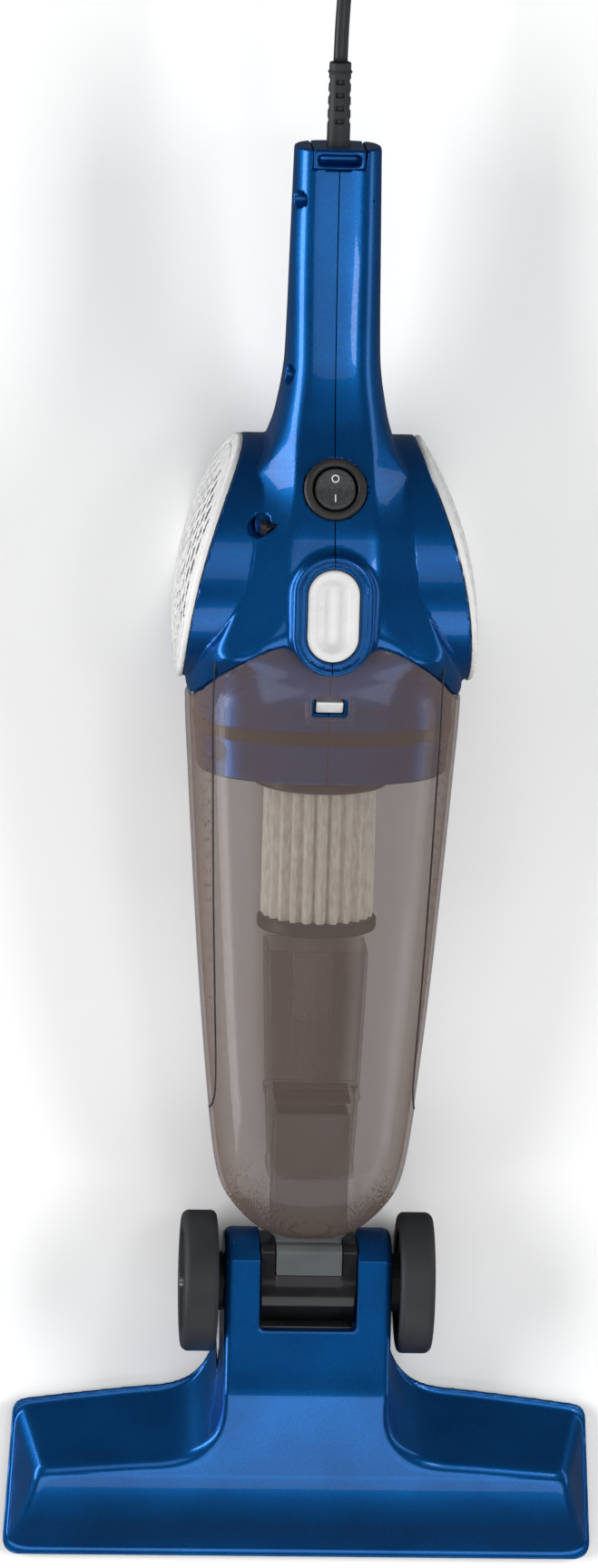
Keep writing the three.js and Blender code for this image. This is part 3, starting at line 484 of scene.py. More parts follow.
def smooth_line(points, step):
    """Points every `step` along a Catmull-Rom curve through the given points."""
    p = np.array(points, float)
    p = np.vstack([2 * p[0] - p[1], p, 2 * p[-1] - p[-2]])
    line = []
    for i in range(1, len(p) - 2):
        for t in np.linspace(0, 1, 12, endpoint=False):
            line.append(0.5 * (2 * p[i] + (p[i + 1] - p[i - 1]) * t
                               + (2 * p[i - 1] - 5 * p[i] + 4 * p[i + 1] - p[i + 2]) * t ** 2
                               + (3 * p[i] - p[i - 1] - 3 * p[i + 1] + p[i + 2]) * t ** 3))
    line.append(p[-2])
    line = np.array(line)
    along = np.concatenate([[0], np.cumsum(np.linalg.norm(np.diff(line, axis=0), axis=1))])
    wanted = np.linspace(0, along[-1], max(2, int(round(along[-1] / step)) + 1))
    return np.stack([np.interp(wanted, along, line[:, i]) for i in range(3)], 1)


def coil_line():
    """Every turn of the coil: the bottom layer inwards, then column by column back out to the top."""
    pitch = CORD_DIAMETER * 1.01
    slots = [(COIL_COLUMNS - 1 - column, 0) for column in range(COIL_COLUMNS)]
    for column in range(COIL_COLUMNS):
        rising = list(range(1, COIL_LAYERS))
        slots += [(column, layer) for layer in (rising if column % 2 == 0 else rising[::-1])]
    places = [(COIL_RADIUS + (column - (COIL_COLUMNS - 1) / 2) * pitch * 0.985,
               CORD_DIAMETER * (0.5 + layer * 0.97))
              for column, layer in slots]
    points = []
    for turn, (radius, height) in enumerate(places):
        after = places[min(turn + 1, len(places) - 1)]
        for i in range(TURN_POINTS):
            t = i / TURN_POINTS
            shift = 0 if t < 0.8 else (1 - math.cos(math.pi * (t - 0.8) / 0.2)) / 2
            r = radius + (after[0] - radius) * shift
            h = height + (after[1] - height) * shift
            angle = 2 * math.pi * t
            points.append((COIL_CENTRE[0] + r * math.cos(angle), COIL_CENTRE[1] + r * math.sin(angle), h))
    return points


def tube_mesh(name, line, radius, space, sides=16):
    """A round tube along a line, closed at both ends."""
    line = np.array(line)
    tangent = np.gradient(line, axis=0)
    tangent /= np.linalg.norm(tangent, axis=1, keepdims=True)
    normal = np.cross(tangent[0], (0.0, 0.0, 1.0))
    points = []
    for place, along in zip(line, tangent):
        normal = normal - along * normal.dot(along)
        normal /= np.linalg.norm(normal)
        side = np.cross(along, normal)
        for i in range(sides):
            a = 2 * math.pi * i / sides
            points.append(place + radius * (math.cos(a) * normal + math.sin(a) * side))
    faces = bands(range(len(line)), sides)
    faces.append(tuple(range(sides))[::-1])
    faces.append(tuple((len(line) - 1) * sides + i for i in range(sides)))
    return mesh_from(name, points, faces, space)


# ---- floor head ----

AXIS = 32.2  # height of the wheels' axis
YOKE_HALF = 38.0
YOKE_ROUND = 25.0
ARM_SPLIT = 20.0  # the blue cover makes the yoke above this height
COVER_FOOT = 3.5
NOZZLE_FRONT = 133.0

TOP_BACK = through((-30, 57.2), (20, 57.2), (32, 56.5), (45, 54.2), (57, 50.2), (70, 45), (90, 36))
TOP_SLOPE = through((50, 53.7), (57, 50.2), (90, 34.4), (101, 28.7), (113, 20.6), (122, 12.4), (128, 7.4),
                    (131.5, 5.6), (150, 4))
DECK = through((30, 11), (50, 14), (61, 17.3), (70, 20.4), (80, 26.3), (91, 35.2), (110, 51), (150, 84))
WING = through((-40, 38), (30, 38), (50, 40), (60, 42.8), (66, 45.7), (71, 50), (75.3, 56), (79.5, 64),
               (82.8, 72), (85.7, 85), (87.8, 100), (90, 130), (92, 170), (100, 400), (150, 900))
REAR = through((0, 51), (60, 53), (100, 57), (135, 61.5))


def below(curve, u, z):
    """Negative under the line z = curve(u)."""
    slope = (curve(u + 0.4) - curve(u - 0.4)) / 0.8
    return (z - curve(u)) / np.hypot(1, slope)


def block(x, y, z, low, high, soft=0.0):
    sides = [np.abs(v - (a + b) / 2) - (b - a) / 2 for v, a, b in zip((x, y, z), low, high)]
    return both(both(sides[0], sides[1], soft), sides[2], soft)


def head_hull(x, u, z):
    ax = np.abs(x)
    ends = (ax - 132.6 - (u - 61) * 0.055 + 2.2 + (z - 4) * 0.35) / 1.06
    rear = (REAR(ax) + 1.6 + (z - 4) * 0.9 - u) / 1.345
    nozzle = both(both(ends, rear, 6), u - NOZZLE_FRONT + 1.5, 10)
    plan = join(nozzle, both(ax - YOKE_HALF, u - 90), 30)
    back = np.where(u < 0, np.hypot(u, z - AXIS) - YOKE_ROUND, z - AXIS - YOKE_ROUND)
    top = both(both(below(TOP_BACK, u, z), below(TOP_SLOPE, u, z), 2.5), back)
    hull = both(plan, top, 4.5)
    wing = WING(u) + 0.14 * np.maximum(TOP_SLOPE(u) - z, 0)
    steep = (WING(u + 0.4) - WING(u - 0.4)) / 0.8
    scoop = both(-below(DECK, u, z), (wing - ax) / np.hypot(1, steep), 18)
    hull = cut(hull, scoop, 1.1)
    edge = both(ax - 131.4 - (u - 61) * 0.058, REAR(ax) - u, 6)
    edge = join(edge, both(ax - YOKE_HALF, u - 90), 30)
    flange = both(both(edge, u - NOZZLE_FRONT, 9), z - 5.7, 0.8)
    return join(hull, flange, 1.4)


def head_cover(x, u, z):
    hull = head_hull(x, u, z)
    window = block(x, u, z, (-22.2, -40, -20), (22.2, 19, 90), 3)
    lining = block(x, u, z, (-24.4, -40, -20), (24.4, 21.2, 90), 3)
    solid = cut(hull, both(hull + 2.2, -lining))
    solid = cut(solid, window, 1.0)
    solid = cut(solid, block(x, u, z, (-YOKE_HALF - 0.8, -50, -20), (YOKE_HALF + 0.8, 50, ARM_SPLIT)))
    solid = cut(solid, block(x, u, z, (-21.3, 15, 20.6), (21.3, 34, 45.4)))
    axle = both(np.hypot(u, z - AXIS) - 4.3, np.abs(x) - 60)
    journal = both(np.hypot(u, z - AXIS) - 6.3, np.abs(x) - 29)
    solid = cut(cut(solid, axle), journal)
    return both(solid, COVER_FOOT - z)


def lathe(name, profile, centre, axis, space, sides):
    """A mesh turned about x, s or f: the profile is a closed loop of (radius, along) points."""
    profile = np.array(profile, float)
    points = np.concatenate([
        np.stack([profile[:, 0] * math.cos(angle), profile[:, 0] * math.sin(angle), profile[:, 1]], 1)
        for angle in np.linspace(0, 2 * np.pi, sides, endpoint=False)])
    columns = {"x": [2, 0, 1], "s": [1, 2, 0], "f": [0, 1, 2]}[axis]
    points = points[:, columns] + np.array(centre, float)
    faces = bands([*range(sides), 0], len(profile))
    mesh = mesh_from(name, points, faces, space)
    tidy_mesh(mesh, 30)
    return mesh


def tidy_mesh(mesh, degrees):
    """Merges doubled points, drops what that flattens, turns every face out and marks the sharp edges."""
    work = bmesh.new()
    work.from_mesh(mesh)
    bmesh.ops.remove_doubles(work, verts=work.verts, dist=2e-6)
    bmesh.ops.dissolve_degenerate(work, edges=work.edges, dist=1e-6)
    bmesh.ops.recalc_face_normals(work, faces=work.faces)
    work.to_mesh(mesh)
    work.free()
    mesh.polygons.foreach_set("use_smooth", [True] * len(mesh.polygons))
    mesh.set_sharp_from_angle(angle=math.radians(degrees))


def rounded(profile, radius, steps=3):
    """A closed loop of (a, b) points with its corners rounded."""
    profile = [np.array(p, float) for p in profile]
    loop = []
    for before, corner, after in zip(profile[-1:] + profile[:-1], profile, profile[1:] + profile[:1]):
        into, away = before - corner, after - corner
        reach = min(radius, 0.45 * np.linalg.norm(into), 0.45 * np.linalg.norm(away))
        start = corner + into / np.linalg.norm(into) * reach
        end = corner + away / np.linalg.norm(away) * reach
        for t in np.linspace(0, 1, steps + 1):
            loop.append((1 - t) ** 2 * start + 2 * t * (1 - t) * corner + t * t * end)
    return loop


WHEEL_INNER, WHEEL_OUTER = 41.4, 57.0
WHEEL_RADIUS = 32.2


def make_wheels(materials):
    for name, side in (("left", -1), ("right", 1)):
        inner, outer = side * WHEEL_INNER, side * WHEEL_OUTER
        tyre = rounded([(24, inner), (30.6, inner), (WHEEL_RADIUS, inner + side * 1.5),
                        (WHEEL_RADIUS, outer - side * 2.2), (30.4, outer), (24, outer)], 1.2, 4)
        turned(f"tyre_{name}", tyre, "x", materials["tyre"], f"wheel_{name}", HEAD, (0, 0, AXIS), 128)
        polished_node(f"wheel_hub_{name}", materials["black_matt"], 0.4)
        polished_node(f"axle_{name}", materials["steel"], 0.3)


def make_head(materials):
    skinned("head_cover", head_cover, (-137, -27, 1), (137, 135, 60), 1.05,
            materials["blue"], "floor_head", HEAD, [(2, 1, COVER_FOOT)])
    polished_node("head_base", materials["black_matt"], 0.5)
    polished_node("suction_duct", materials["grey"], 0.4)
    for name in ("lint_strip_front", "lint_strip_rear"):
        polished_node(name, materials["felt"], 0.4)
    make_wheels(materials)


# ---- body outline ----

BODY_ROWS = [  # along, half width, front, back, squareness
    (22, 9, 8, 7, 2.2), (24.2, 18.5, 15.5, 14, 2.2), (28, 25, 21, 19.5, 2.2), (33, 30.6, 25.7, 23.8, 2.2),
    (38, 35, 29.2, 27, 2.2), (45, 39.6, 32.8, 30.4, 2.25), (54, 42.6, 35.2, 32.6, 2.3),
    (68, 45, 37.3, 34.5, 2.3), (85, 47, 39, 36.2, 2.35), (135, 52, 43.3, 40, 2.4),
    (185, 56.1, 46.7, 43.2, 2.4), (236, 59.8, 49.8, 46, 2.4), (274, 62.1, 51.6, 47.8, 2.4),
    (290, 62.2, 55, 48, 2.7), (300, 58, 57, 47.5, 4), (310, 50.8, 58, 47, 5.5), (320, 45, 58.6, 46, 7),
    (336, 39.2, 59, 44.5, 8), (354, 37.2, 55.4, 42, 8), (373, 38.6, 47.6, 35.6, 7), (380, 34.5, 44.5, 32, 5),
    (390, 29, 39.5, 27, 3.8), (405, 24.6, 33, 22, 3.1), (430, 21.3, 26, 19, 2.7), (480, 20.3, 18.5, 17, 2.6),
    (523.5, 19.5, 16, 16, 2.6)]
HALF_WIDTH, FRONT, BACK, SQUARENESS = (through(*[(row[0], row[i]) for row in BODY_ROWS]) for i in range(1, 5))
CREASE = through((260, 80), (284, 62), (305, 30), (325, 18.5), (350, 18), (376, 16.5), (400, 15.5),
                 (430, 13.5), (523.5, 13))
FALL = through((240, 0.45), (352, 0.45), (380, 0.9), (400, 1.1), (523.5, 1.1))
RIM = 274.0
RIM_RISE = through((0, 18.8), (6, 20), (12, 24), (17.5, 29.8), (21.5, 31.3), (26, 30.2), (38, 24),
                   (51, 12.6), (56, 6), (62, 0), (90, 0))


def body_hull(x, s, f):
    ax = np.abs(x)
    width, front, back, square = HALF_WIDTH(s), FRONT(s), BACK(s), SQUARENESS(s)
    depth = np.where(f > 0, front, back)
    far = np.hypot(x, f) + 1e-6
    rho = ((ax / width) ** square + (np.abs(f) / depth) ** square) ** (1 / square) + 1e-6
    outline = far - far / rho
    crease, fall = CREASE(s), FALL(s)
    face = f - front + 0.05 * ax
    facet = (f - front + 0.05 * crease + fall * (ax - crease)) / np.hypot(1, fall)
    return both(both(face, facet, 1.6), outline, 2.0)


def past_rim(x, s, f):
    """How far a point is past the edge between cup and housing, towards the handle."""
    ax = np.abs(x)
    share = np.clip(f / 12, 0, 1)
    share = share * share * (3 - 2 * share)
    slope = (RIM_RISE(ax + 0.4) - RIM_RISE(ax - 0.4)) / 0.8
    return (s - RIM - share * RIM_RISE(ax)) / np.hypot(1, share * slope)


def pill(x, s, centre, half_width, half_length):
    return np.hypot(x, np.maximum(np.abs(s - centre) - (half_length - half_width), 0)) - half_width


# ---- cup unit ----

LATCH_AT = 277.5
BARREL_RADIUS = 18.3
PANEL_EDGE = through((0, 90), (60, 80), (78, 50), (84, 46.2), (94, 44.8), (140, 46.6), (185, 48.5),
                     (236, 50.2), (274, 51.2), (310, 51.2))


def neck_hull(x, s, f, grow=0.0):
    """The square tube that goes up from the hinge, chamfered at its top."""
    half = 15 + 2.25 * np.clip((s - 22.5) / 2.5, 0, 1)
    walls = both(np.abs(x) - half - grow, np.abs(f) - 11 - grow, 2.4)
    chamfer = (np.abs(x) - 17.25 + s - 83 + 3.2) / 1.414 - grow
    over = (np.abs(f) - 11 + (s - 83 + 3.2)) / 1.414 - grow
    return both(both(both(walls, s - 83 - grow, 0.6), both(chamfer, over)), 9 - s - grow, 0.6)


def cup_outer(x, s, f):
    hull = both(body_hull(x, s, f), 22 - s, 2)
    side = np.clip((np.abs(x) - PANEL_EDGE(s)) / 0.9 + 0.5, 0, 1) * np.clip(f / 6, 0, 1)
    return hull + 0.4 * side


def dust_cup(x, s, f):
    hull = both(cup_outer(x, s, f), past_rim(x, s, f), 0.8)
    frame = block(x, s, f, (-10.6, LATCH_AT - 6.6, 46), (10.6, LATCH_AT + 6.6, 53.6), 2.4)
    hull = join(hull, frame, 1.6)
    hollow = both(body_hull(x, s, f) + 2, 24.6 - s, 2)
    cup = cut(hull, hollow, 0.5)
    cup = cut(cup, block(x, s, f, (-8.2, LATCH_AT - 4.2, 20), (8.2, LATCH_AT + 4.2, 90), 1.5), 0.8)
    return cut(cup, neck_hull(x, s, f, 0.3))


def panel_step_line(side):
    """The line where the cup's front panel steps down to its side, from the rim to where it runs out: the
    painted shade of that step is laid along it.
    """
    along = np.concatenate([np.linspace(296, 100, 60), np.linspace(97, 80.5, 16)])
    across = PANEL_EDGE(along)
    low, high = np.zeros_like(along), np.full_like(along, 60)
    for _ in range(40):
        middle = (low + high) / 2
        outside = body_hull(across, along, middle) > 0
        low, high = np.where(outside, low, middle), np.where(outside, middle, high)
    kept = low > 1
    return np.stack([side * across, along, low - 0.12], 1)[kept]


DUCT_HALF = through((48, 19.2), (53, 19.5), (94, 21.5), (158, 23.7), (170, 24))
DUCT_DEPTH = through((48, 13.8), (53, 14), (94, 16), (158, 18), (170, 18.3))


def inlet_duct(x, s, f):
    half, depth = DUCT_HALF(s), DUCT_DEPTH(s)
    outer = both(np.abs(x) - half, np.abs(f) - depth, 3)
    foot = np.clip((s - 56.5) / 1.2, 0, 1)
    outer = both(outer + 0.7 * foot, both(s - 158, 51.5 - s), 0.6)
    inner = both(np.abs(x) - half + 2.1, np.abs(f) - depth + 2.1, 2)
    duct = cut(outer, inner, 0.4)
    for place in range(-2, 3):
        rib = block(x, s, f, (place * 5.2 - 0.55, 96, 10), (place * 5.2 + 0.55, 156, 30))
        duct = join(duct, both(both(rib, outer), -(inner + 0.9)), 0.5)
    ledge = both(block(x, s, f, (-40, 88.6, -30), (40, 90.6, 30)), outer - 0.9)
    duct = join(duct, cut(ledge, inner + 0.4), 0.8)
    brow = both(pill(x, s, 92, 14.6, 14.7), both(s - 95.5, 90 - s))
    duct = join(duct, both(both(brow, -brow - 1.2), both(outer - 0.6, 10 - f)), 0.6)
    mouth = both(pill(x, s, 86, 16.6, 31.5), s - 88.4, 3)
    duct = cut(duct, both(mouth, 8 - f), 0.6)
    duct = cut(duct, block(x, s, f, (-9, 118, -40), (9, 150, -10), 3))
    duct = cut(duct, np.hypot(s - 88.2, f + 10.2) - 1.4)
    return cut(duct, neck_hull(x, s, f, 0.3))


COLLAR_TOP, COLLAR_FRONT, COLLAR_CHAMFER = 21, 17.8, 2.6
CHEEK_FROM, CHEEK_TO = 15.4, 21.9  # the cheeks beside the neck, in |x|


def collar(across, back, s, f):
    """The thicker front between the hinge and the cup, chamfered along its top."""
    slab = both(both(across, s - COLLAR_TOP, 0.4), both(f - COLLAR_FRONT, both(-s, back - f), 0.4), 0.4)
    return both(slab, (s + f - (COLLAR_TOP + COLLAR_FRONT - COLLAR_CHAMFER)) / 1.414, 0.8)


def neck_tube(x, s, f):
    hull = neck_hull(x, s, f)
    tube = join(cut(hull, hull + 2), both(collar(np.abs(x) - 15, 0, s, f), -hull - 1), 0.4)
    tube = cut(tube, both(both(np.abs(x) - 15.2, np.abs(f) - 9), 70 - s))
    return cut(tube, np.hypot(s, f) - BARREL_RADIUS - 0.3)


def hinge_barrel(x, s, f):
    """The barrel between the yoke's arms, with a cheek on each side of the neck."""
    ax = np.abs(x)
    barrel = both(np.hypot(s, f) - BARREL_RADIUS, ax - CHEEK_TO, 1.2)
    cheek_middle, cheek_half = (CHEEK_FROM + CHEEK_TO) / 2, (CHEEK_TO - CHEEK_FROM) / 2
    cheeks = collar(np.abs(ax - cheek_middle) - cheek_half, -12, s, f)
    body = join(join(barrel, cheeks, 0.8), both(np.hypot(s, f) - 6, ax - 28, 0.8))
    body = cut(body, both(np.hypot(s, f) - BARREL_RADIUS + 2, ax - 19.4))
    mouth = both(both(np.abs(f) + 0.467 * s, s), ax - 18)
    body = cut(body, mouth)
    return cut(body, block(x, s, f, (-12, 4, -8), (12, 30, 8)))


def make_cup(materials):
    skinned("dust_cup", dust_cup, (-64, 18, -50), (64, 307, 58), 1.2,
            materials["smoke"], "cup_unit")
    # A thin, nearly black tube along each panel step is painted shade, standing in for the step's shadow.
    for name, side in (("left", -1), ("right", 1)):
        painted_step_shade = tube_mesh(f"cup_step_shade_{name}", panel_step_line(side), 0.42, BODY, 10)
        add_piece(f"cup_step_shade_{name}", painted_step_shade, materials["painted_step_shade"], "cup_unit")
    skinned("inlet_duct", inlet_duct, (-26, 49, -20), (26, 160, 20), 0.9,
            materials["clear"], "cup_unit")
    skinned("neck_tube", neck_tube, (-19, 7, -13), (19, 85, 19), 0.8,
            materials["grey"], "cup_unit")
    skinned("hinge_barrel", hinge_barrel, (-29.5, -20, -20), (29.5, 23, 20), 0.8,
            materials["black_gloss"], "cup_unit")
    polished_node("flap_pin", materials["steel"], 0.2)
    polished_node("inlet_flap", materials["rubber"], 0.3)


# ---- hand unit ----

DRUM_AT, DRUM_BEHIND, DRUM_RADIUS = 336.0, 6.0, 55.0
DRUM_HALF, DRUM_TILT = 53.8, 0.2327  # half the width at the drum's middle, and how it narrows
DRUM_BULGE, GRILLE_DOME = 7.6, 3.6
SKIRT_FROM, SKIRT_TO, SKIRT_INSET = 241.0, 330.0, 4.0
WALL = 2.5
SEAM = 0.25  # half the gap between the two shells
BUTTON_AT, BUTTON_WIDE, BUTTON_LONG, BUTTON_TOP = 320.7, 11.5, 20.9, 60.0
SWITCH_AT, SWITCH_FRONT, SWITCH_LEAN = 376.0, 46.4, 0.32
SCREWS = [  # along, front, radius of the recess, where its floor is and how deep it is, or 0 for RECESS
    (500.3, 9.5, 3.9, -9, 20), (422, 15, 4.4, -11, 20), (358, 46, 5, -30, 0), (253, 28, 4.4, -34, 60)]
RECESS_AT, RECESS_RADIUS, RECESS_DEPTH = (-33.5, 358.5, 45.5), 5, 6  # the one tilted with the shoulder
HANDLE_END = 523.5


def drum_face(x, s):
    """How far out of the drum's canted, slightly bulging faces a point is."""
    bulge = DRUM_BULGE * (1 - ((s - DRUM_AT) / DRUM_RADIUS) ** 2)
    return (np.abs(x) - DRUM_HALF + DRUM_TILT * (s - DRUM_AT) - bulge) / math.hypot(1, DRUM_TILT)


def from_drum(s, f):
    return np.hypot(s - DRUM_AT, f + DRUM_BEHIND)


def switch_place(s, f):
    """(across the switch, out of its face) for a point beside it."""
    a, b = s - SWITCH_AT, f - SWITCH_FRONT
    c, n = math.cos(SWITCH_LEAN), math.sin(SWITCH_LEAN)
    return a * c - b * n, a * n + b * c


def hand_hull(x, s, f):
    rim, hull = past_rim(x, s, f), body_hull(x, s, f)
    chamfer = both(hull, hull + 1.7 - 0.36 * rim, 0.8)  # falls away towards the cup's edge
    lip = both(both(pill(x, s, BUTTON_AT + 0.3, 18.2, 27.6), f - 61, 2.2), 30 - f)
    lip = cut(join(chamfer, lip, 3.4), both(pill(x, s, BUTTON_AT + 0.2, 15.3, 24.7), 59.6 - f), 0.7)
    spine = both(both(lip, 0.4 - rim, 0.5), s - HANDLE_END, 1.6)
    skirt = both(both(hull + SKIRT_INSET, SKIRT_FROM - s, 0.8), s - SKIRT_TO)
    drum = both(from_drum(s, f) - DRUM_RADIUS, drum_face(x, s) + 2.9, 0.5)
    drum = cut(drum, both(rim - 0.4, hull - 0.3))
    return join(join(spine, skirt), drum, 0.8)


def hand_shell(x, s, f):
    hull = hand_hull(x, s, f)
    shell = cut(hull, hull + WALL)
    for at, front, radius, seat, depth in SCREWS:
        post = np.hypot(s - at, f - front)
        shell = join(shell, both(post - radius - 1.6, hull + 0.4))
    shell = cut(shell, both(pill(x, s, BUTTON_AT, BUTTON_WIDE + 0.4, BUTTON_LONG + 0.4), 30 - f), 1.4)
    across, out = switch_place(s, f)
    shell = cut(shell, both(np.hypot(x, across) - 12.3, -30 - out))
    shell = cut(shell, both(np.hypot(x, across) - 14.15, -2.5 - out), 0.4)
    shell = cut(shell, block(x, s, f, (-6.6, LATCH_AT - 3.6, 30), (6.6, LATCH_AT + 3.6, 90), 1))
    shell = cut(shell, both(np.hypot(x, f) - 20, s - SKIRT_FROM - 10))
    bore, step = both(from_drum(s, f) - 46, 34 - np.abs(x)), drum_face(x, s) + 9
    shell = cut(cut(shell, both(bore, step)), both(bore, -step))
    shell = cut(shell, block(x, s, f, (-11.8, 514.7, -40), (11.8, 540, 40)))
    for at, front, radius, seat, depth in SCREWS:
        post = np.hypot(s - at, f - front)
        if depth:
            shell = cut(shell, both(post - radius, np.abs(x - seat + depth / 2) - depth / 2), 0.8)
        shell = cut(shell, both(post - 2.2, both(seat - 1 - x, x - 16)))
    away, ahead = x - RECESS_AT[0], f - RECESS_AT[2]
    down, over = away * -0.41 + ahead * 0.912, away * 0.912 + ahead * 0.41
    post = np.hypot(s - RECESS_AT[1], over)
    shell = join(shell, both(both(post - RECESS_RADIUS - 1.6, np.abs(down + 7) - 7), hull + 0.4))
    return cut(shell, both(post - RECESS_RADIUS, -RECESS_DEPTH - down), 0.5)


def end_cap(x, s, f):
    hull = both(both(body_hull(x, s, f), s - HANDLE_END, 1.6), both(np.abs(x) - 11.5, 515 - s), 0.4)
    slot = block(x, s, f, (-9.9, 516.1, 6.6), (9.9, 521.4, 40), 3)
    return cut(cut(hull, slot, 0.8), both(np.hypot(x, f) - 5.5, 500 - s))


def on_drum_face(side):
    """The space of one canted drum face: p along it towards the handle, q to the front and w out of it."""
    length = math.hypot(1, DRUM_TILT)
    out = Vector((side, DRUM_TILT, 0)) / length
    along = Vector((-side * DRUM_TILT, 1, 0)) / length
    turn = Matrix((along, (0, 0, 1), out)).transposed().to_4x4()
    return BODY @ Matrix.Translation((side * DRUM_HALF, DRUM_AT, -DRUM_BEHIND)) @ turn


FACE_LONG = DRUM_RADIUS * math.hypot(1, DRUM_TILT)  # the canted end of the drum is an ellipse
GRILLE_THIN, GRILLE_THICK = 1.1, 2.6  # among the holes and under the ring
HOLE_HALF, HOLE_STRAIGHT = 2.35, 1.5  # an oblong hole's round end and half of its straight part


def grille(p, q, w):
    """A domed plate full of oblong holes, inside a plain ring."""
    reach = np.hypot(p / FACE_LONG, q / DRUM_RADIUS)
    edge = (reach - 1) * DRUM_RADIUS
    rise = 0.974 * (DRUM_BULGE * (1 - (p / FACE_LONG) ** 2) + GRILLE_DOME * (1 - reach ** 2))
    steep = np.hypot(1, 0.974 * 2 * (GRILLE_DOME + DRUM_BULGE) * reach / DRUM_RADIUS)
    thick = GRILLE_THIN + (GRILLE_THICK - GRILLE_THIN) * np.clip((edge + 7) / 1.5, 0, 1)
    over, under = (w - rise) / steep, (rise - thick - w) / steep
    plate = both(both(edge, over, 1.2), under, 0.6)
    groove = both(np.abs(edge + 5.2) - 0.5, -over - 0.7, 0.4)
    plate = cut(plate, groove, 0.4)
    holes = np.full_like(p, 9.0)
    for row in range(-6, 7):
        middle = row * 6.9
        half = math.sqrt(max(48.0 ** 2 - middle ** 2, 0))
        for column in range(-5, 6):
            centre = (column + (0.5 if row % 2 else 0)) * 9.6
            if abs(centre) + 4.4 > half:
                continue
            along = np.maximum(np.abs(p - centre) - HOLE_STRAIGHT, 0)
            holes = np.minimum(holes, np.hypot(along, q - middle) - HOLE_HALF)
    return cut(plate, holes, 0.25)


def button(x, s, f):
    deep = np.clip(-pill(x, s, BUTTON_AT, 8.5, 17.9) / 5.5, 0, 1)
    sunk = 4.2 * deep * deep * (3 - 2 * deep)
    cap = both(pill(x, s, BUTTON_AT, BUTTON_WIDE, BUTTON_LONG), (f - BUTTON_TOP + sunk) / 1.15, 1.6)
    foot = both(pill(x, s, BUTTON_AT, 13.4, 22.8), f - 49.2)
    return both(join(cap, foot), 46 - f)


def latch_hook(x, s, f):
    arm = block(x, s, f, (-6, LATCH_AT - 2.75, 43), (6, BUTTON_AT + 8, 45.7), 0.6)
    tooth = block(x, s, f, (-6, LATCH_AT - 2.75, 43), (6, LATCH_AT + 2.75, 52.4), 0.8)
    return join(arm, both(tooth, (f - 52.4 + (LATCH_AT + 2.75 - s) * 0.7) / 1.22, 0.8))


def make_shells(materials):
    for name, side in (("left", -1), ("right", 1)):
        low, high = sorted((-0.4 * side, 72 * side))
        skinned(f"shell_{name}", hand_shell, (low, 238, -63), (high, 526, 63), 1.2,
                materials["blue"], "hand_unit", BODY, [(0, side, side * SEAM)])
        skinned(f"grille_{name}", grille, (-58, -57, -4), (58, 57, 13), 0.85,
                materials["white"], "hand_unit", on_drum_face(side))
        polished_node(f"exhaust_foam_{name}", materials["foam"], 0.4)
    skinned("end_cap", end_cap, (-13, 513, -18), (13, 526, 18), 0.6,
            materials["blue"], "hand_unit")


def rocker_top(y):
    return 0.171 * np.sqrt(y * y + 0.6)


def rocker(x, y, z):
    return both(both(np.hypot(x, y) - 9.3, (z - rocker_top(y)) / 1.014, 1.4), -8 - z)


def rocker_marks(x, y, z):
    """A ring for off and a bar for on, printed just proud of the rocker."""
    skin_deep = np.abs(z - rocker_top(y)) - 0.12
    ring = np.abs(np.hypot(x, y - 4.6) - 1.5) - 0.27
    bar = both(np.abs(x) - 0.27, np.abs(y + 4.3) - 1.8)
    return both(join(ring, bar), skin_deep)


ROUND_SWITCH = BODY @ Matrix.Translation((0, SWITCH_AT, SWITCH_FRONT)) @ Matrix.Rotation(-SWITCH_LEAN, 4, "X")
ROCKER = ROUND_SWITCH @ Matrix.Rotation(math.radians(-5.5), 4, "X")


def make_controls(materials):
    ring = rounded([(10.2, -12), (12, -12), (12, -2.2), (14, -2.2), (14, 0.4), (13.1, 1.6), (11, 1.6),
                    (10.2, 0.9)], 0.5)
    turned("switch_bezel", ring, "f", materials["switch_ring"], "hand_unit", ROUND_SWITCH)
    skinned("switch_rocker", rocker, (-10, -10, -9), (10, 10, 3), 0.4,
            materials["rocker"], "power_switch", ROCKER)
    marks = skin("switch_marks", rocker_marks, (-3, -8, -1), (3, 8, 3), 0.13, ROCKER)
    add_piece("switch_marks", marks, materials["marks"], "power_switch")
    polished_node("switch_body", materials["black_matt"], 0.4)
    skinned("release_button", button, (-16, 295, 44), (16, 346, 62), 0.6,
            materials["white"], "cup_release_lever")
    skinned("latch_hook", latch_hook, (-7, 273, 42), (7, 330, 54), 0.5,
            materials["white"], "cup_release_lever")
    polished_node("button_spring", materials["steel"], 0.2)
    for i in range(len(SCREWS)):
        polished_node(f"housing_screw_{i + 1}", materials["black_gloss"], 0.2)


def make_insides(materials):
    for name, material in (
            ("fan_shroud", "black_matt"), ("motor_can", "steel"), ("motor_gasket", "rubber"),
            ("motor_rear_mount", "rubber"), ("supply_lead", "cord"), ("motor_lead", "copper"),
            ("armature", "copper"), ("impeller", "grey"), ("cup_gasket", "rubber")):
        polished_node(name, materials[material], 0.3)


# ---- filter ----

PLEATS = 24
PLEAT = ((-0.16, 25.1), (0, 25.5), (0.16, 25.1), (0.42, 22.3), (0.5, 21.9), (0.58, 22.3))  # share, radius
PLEATED_BORE = 18.5


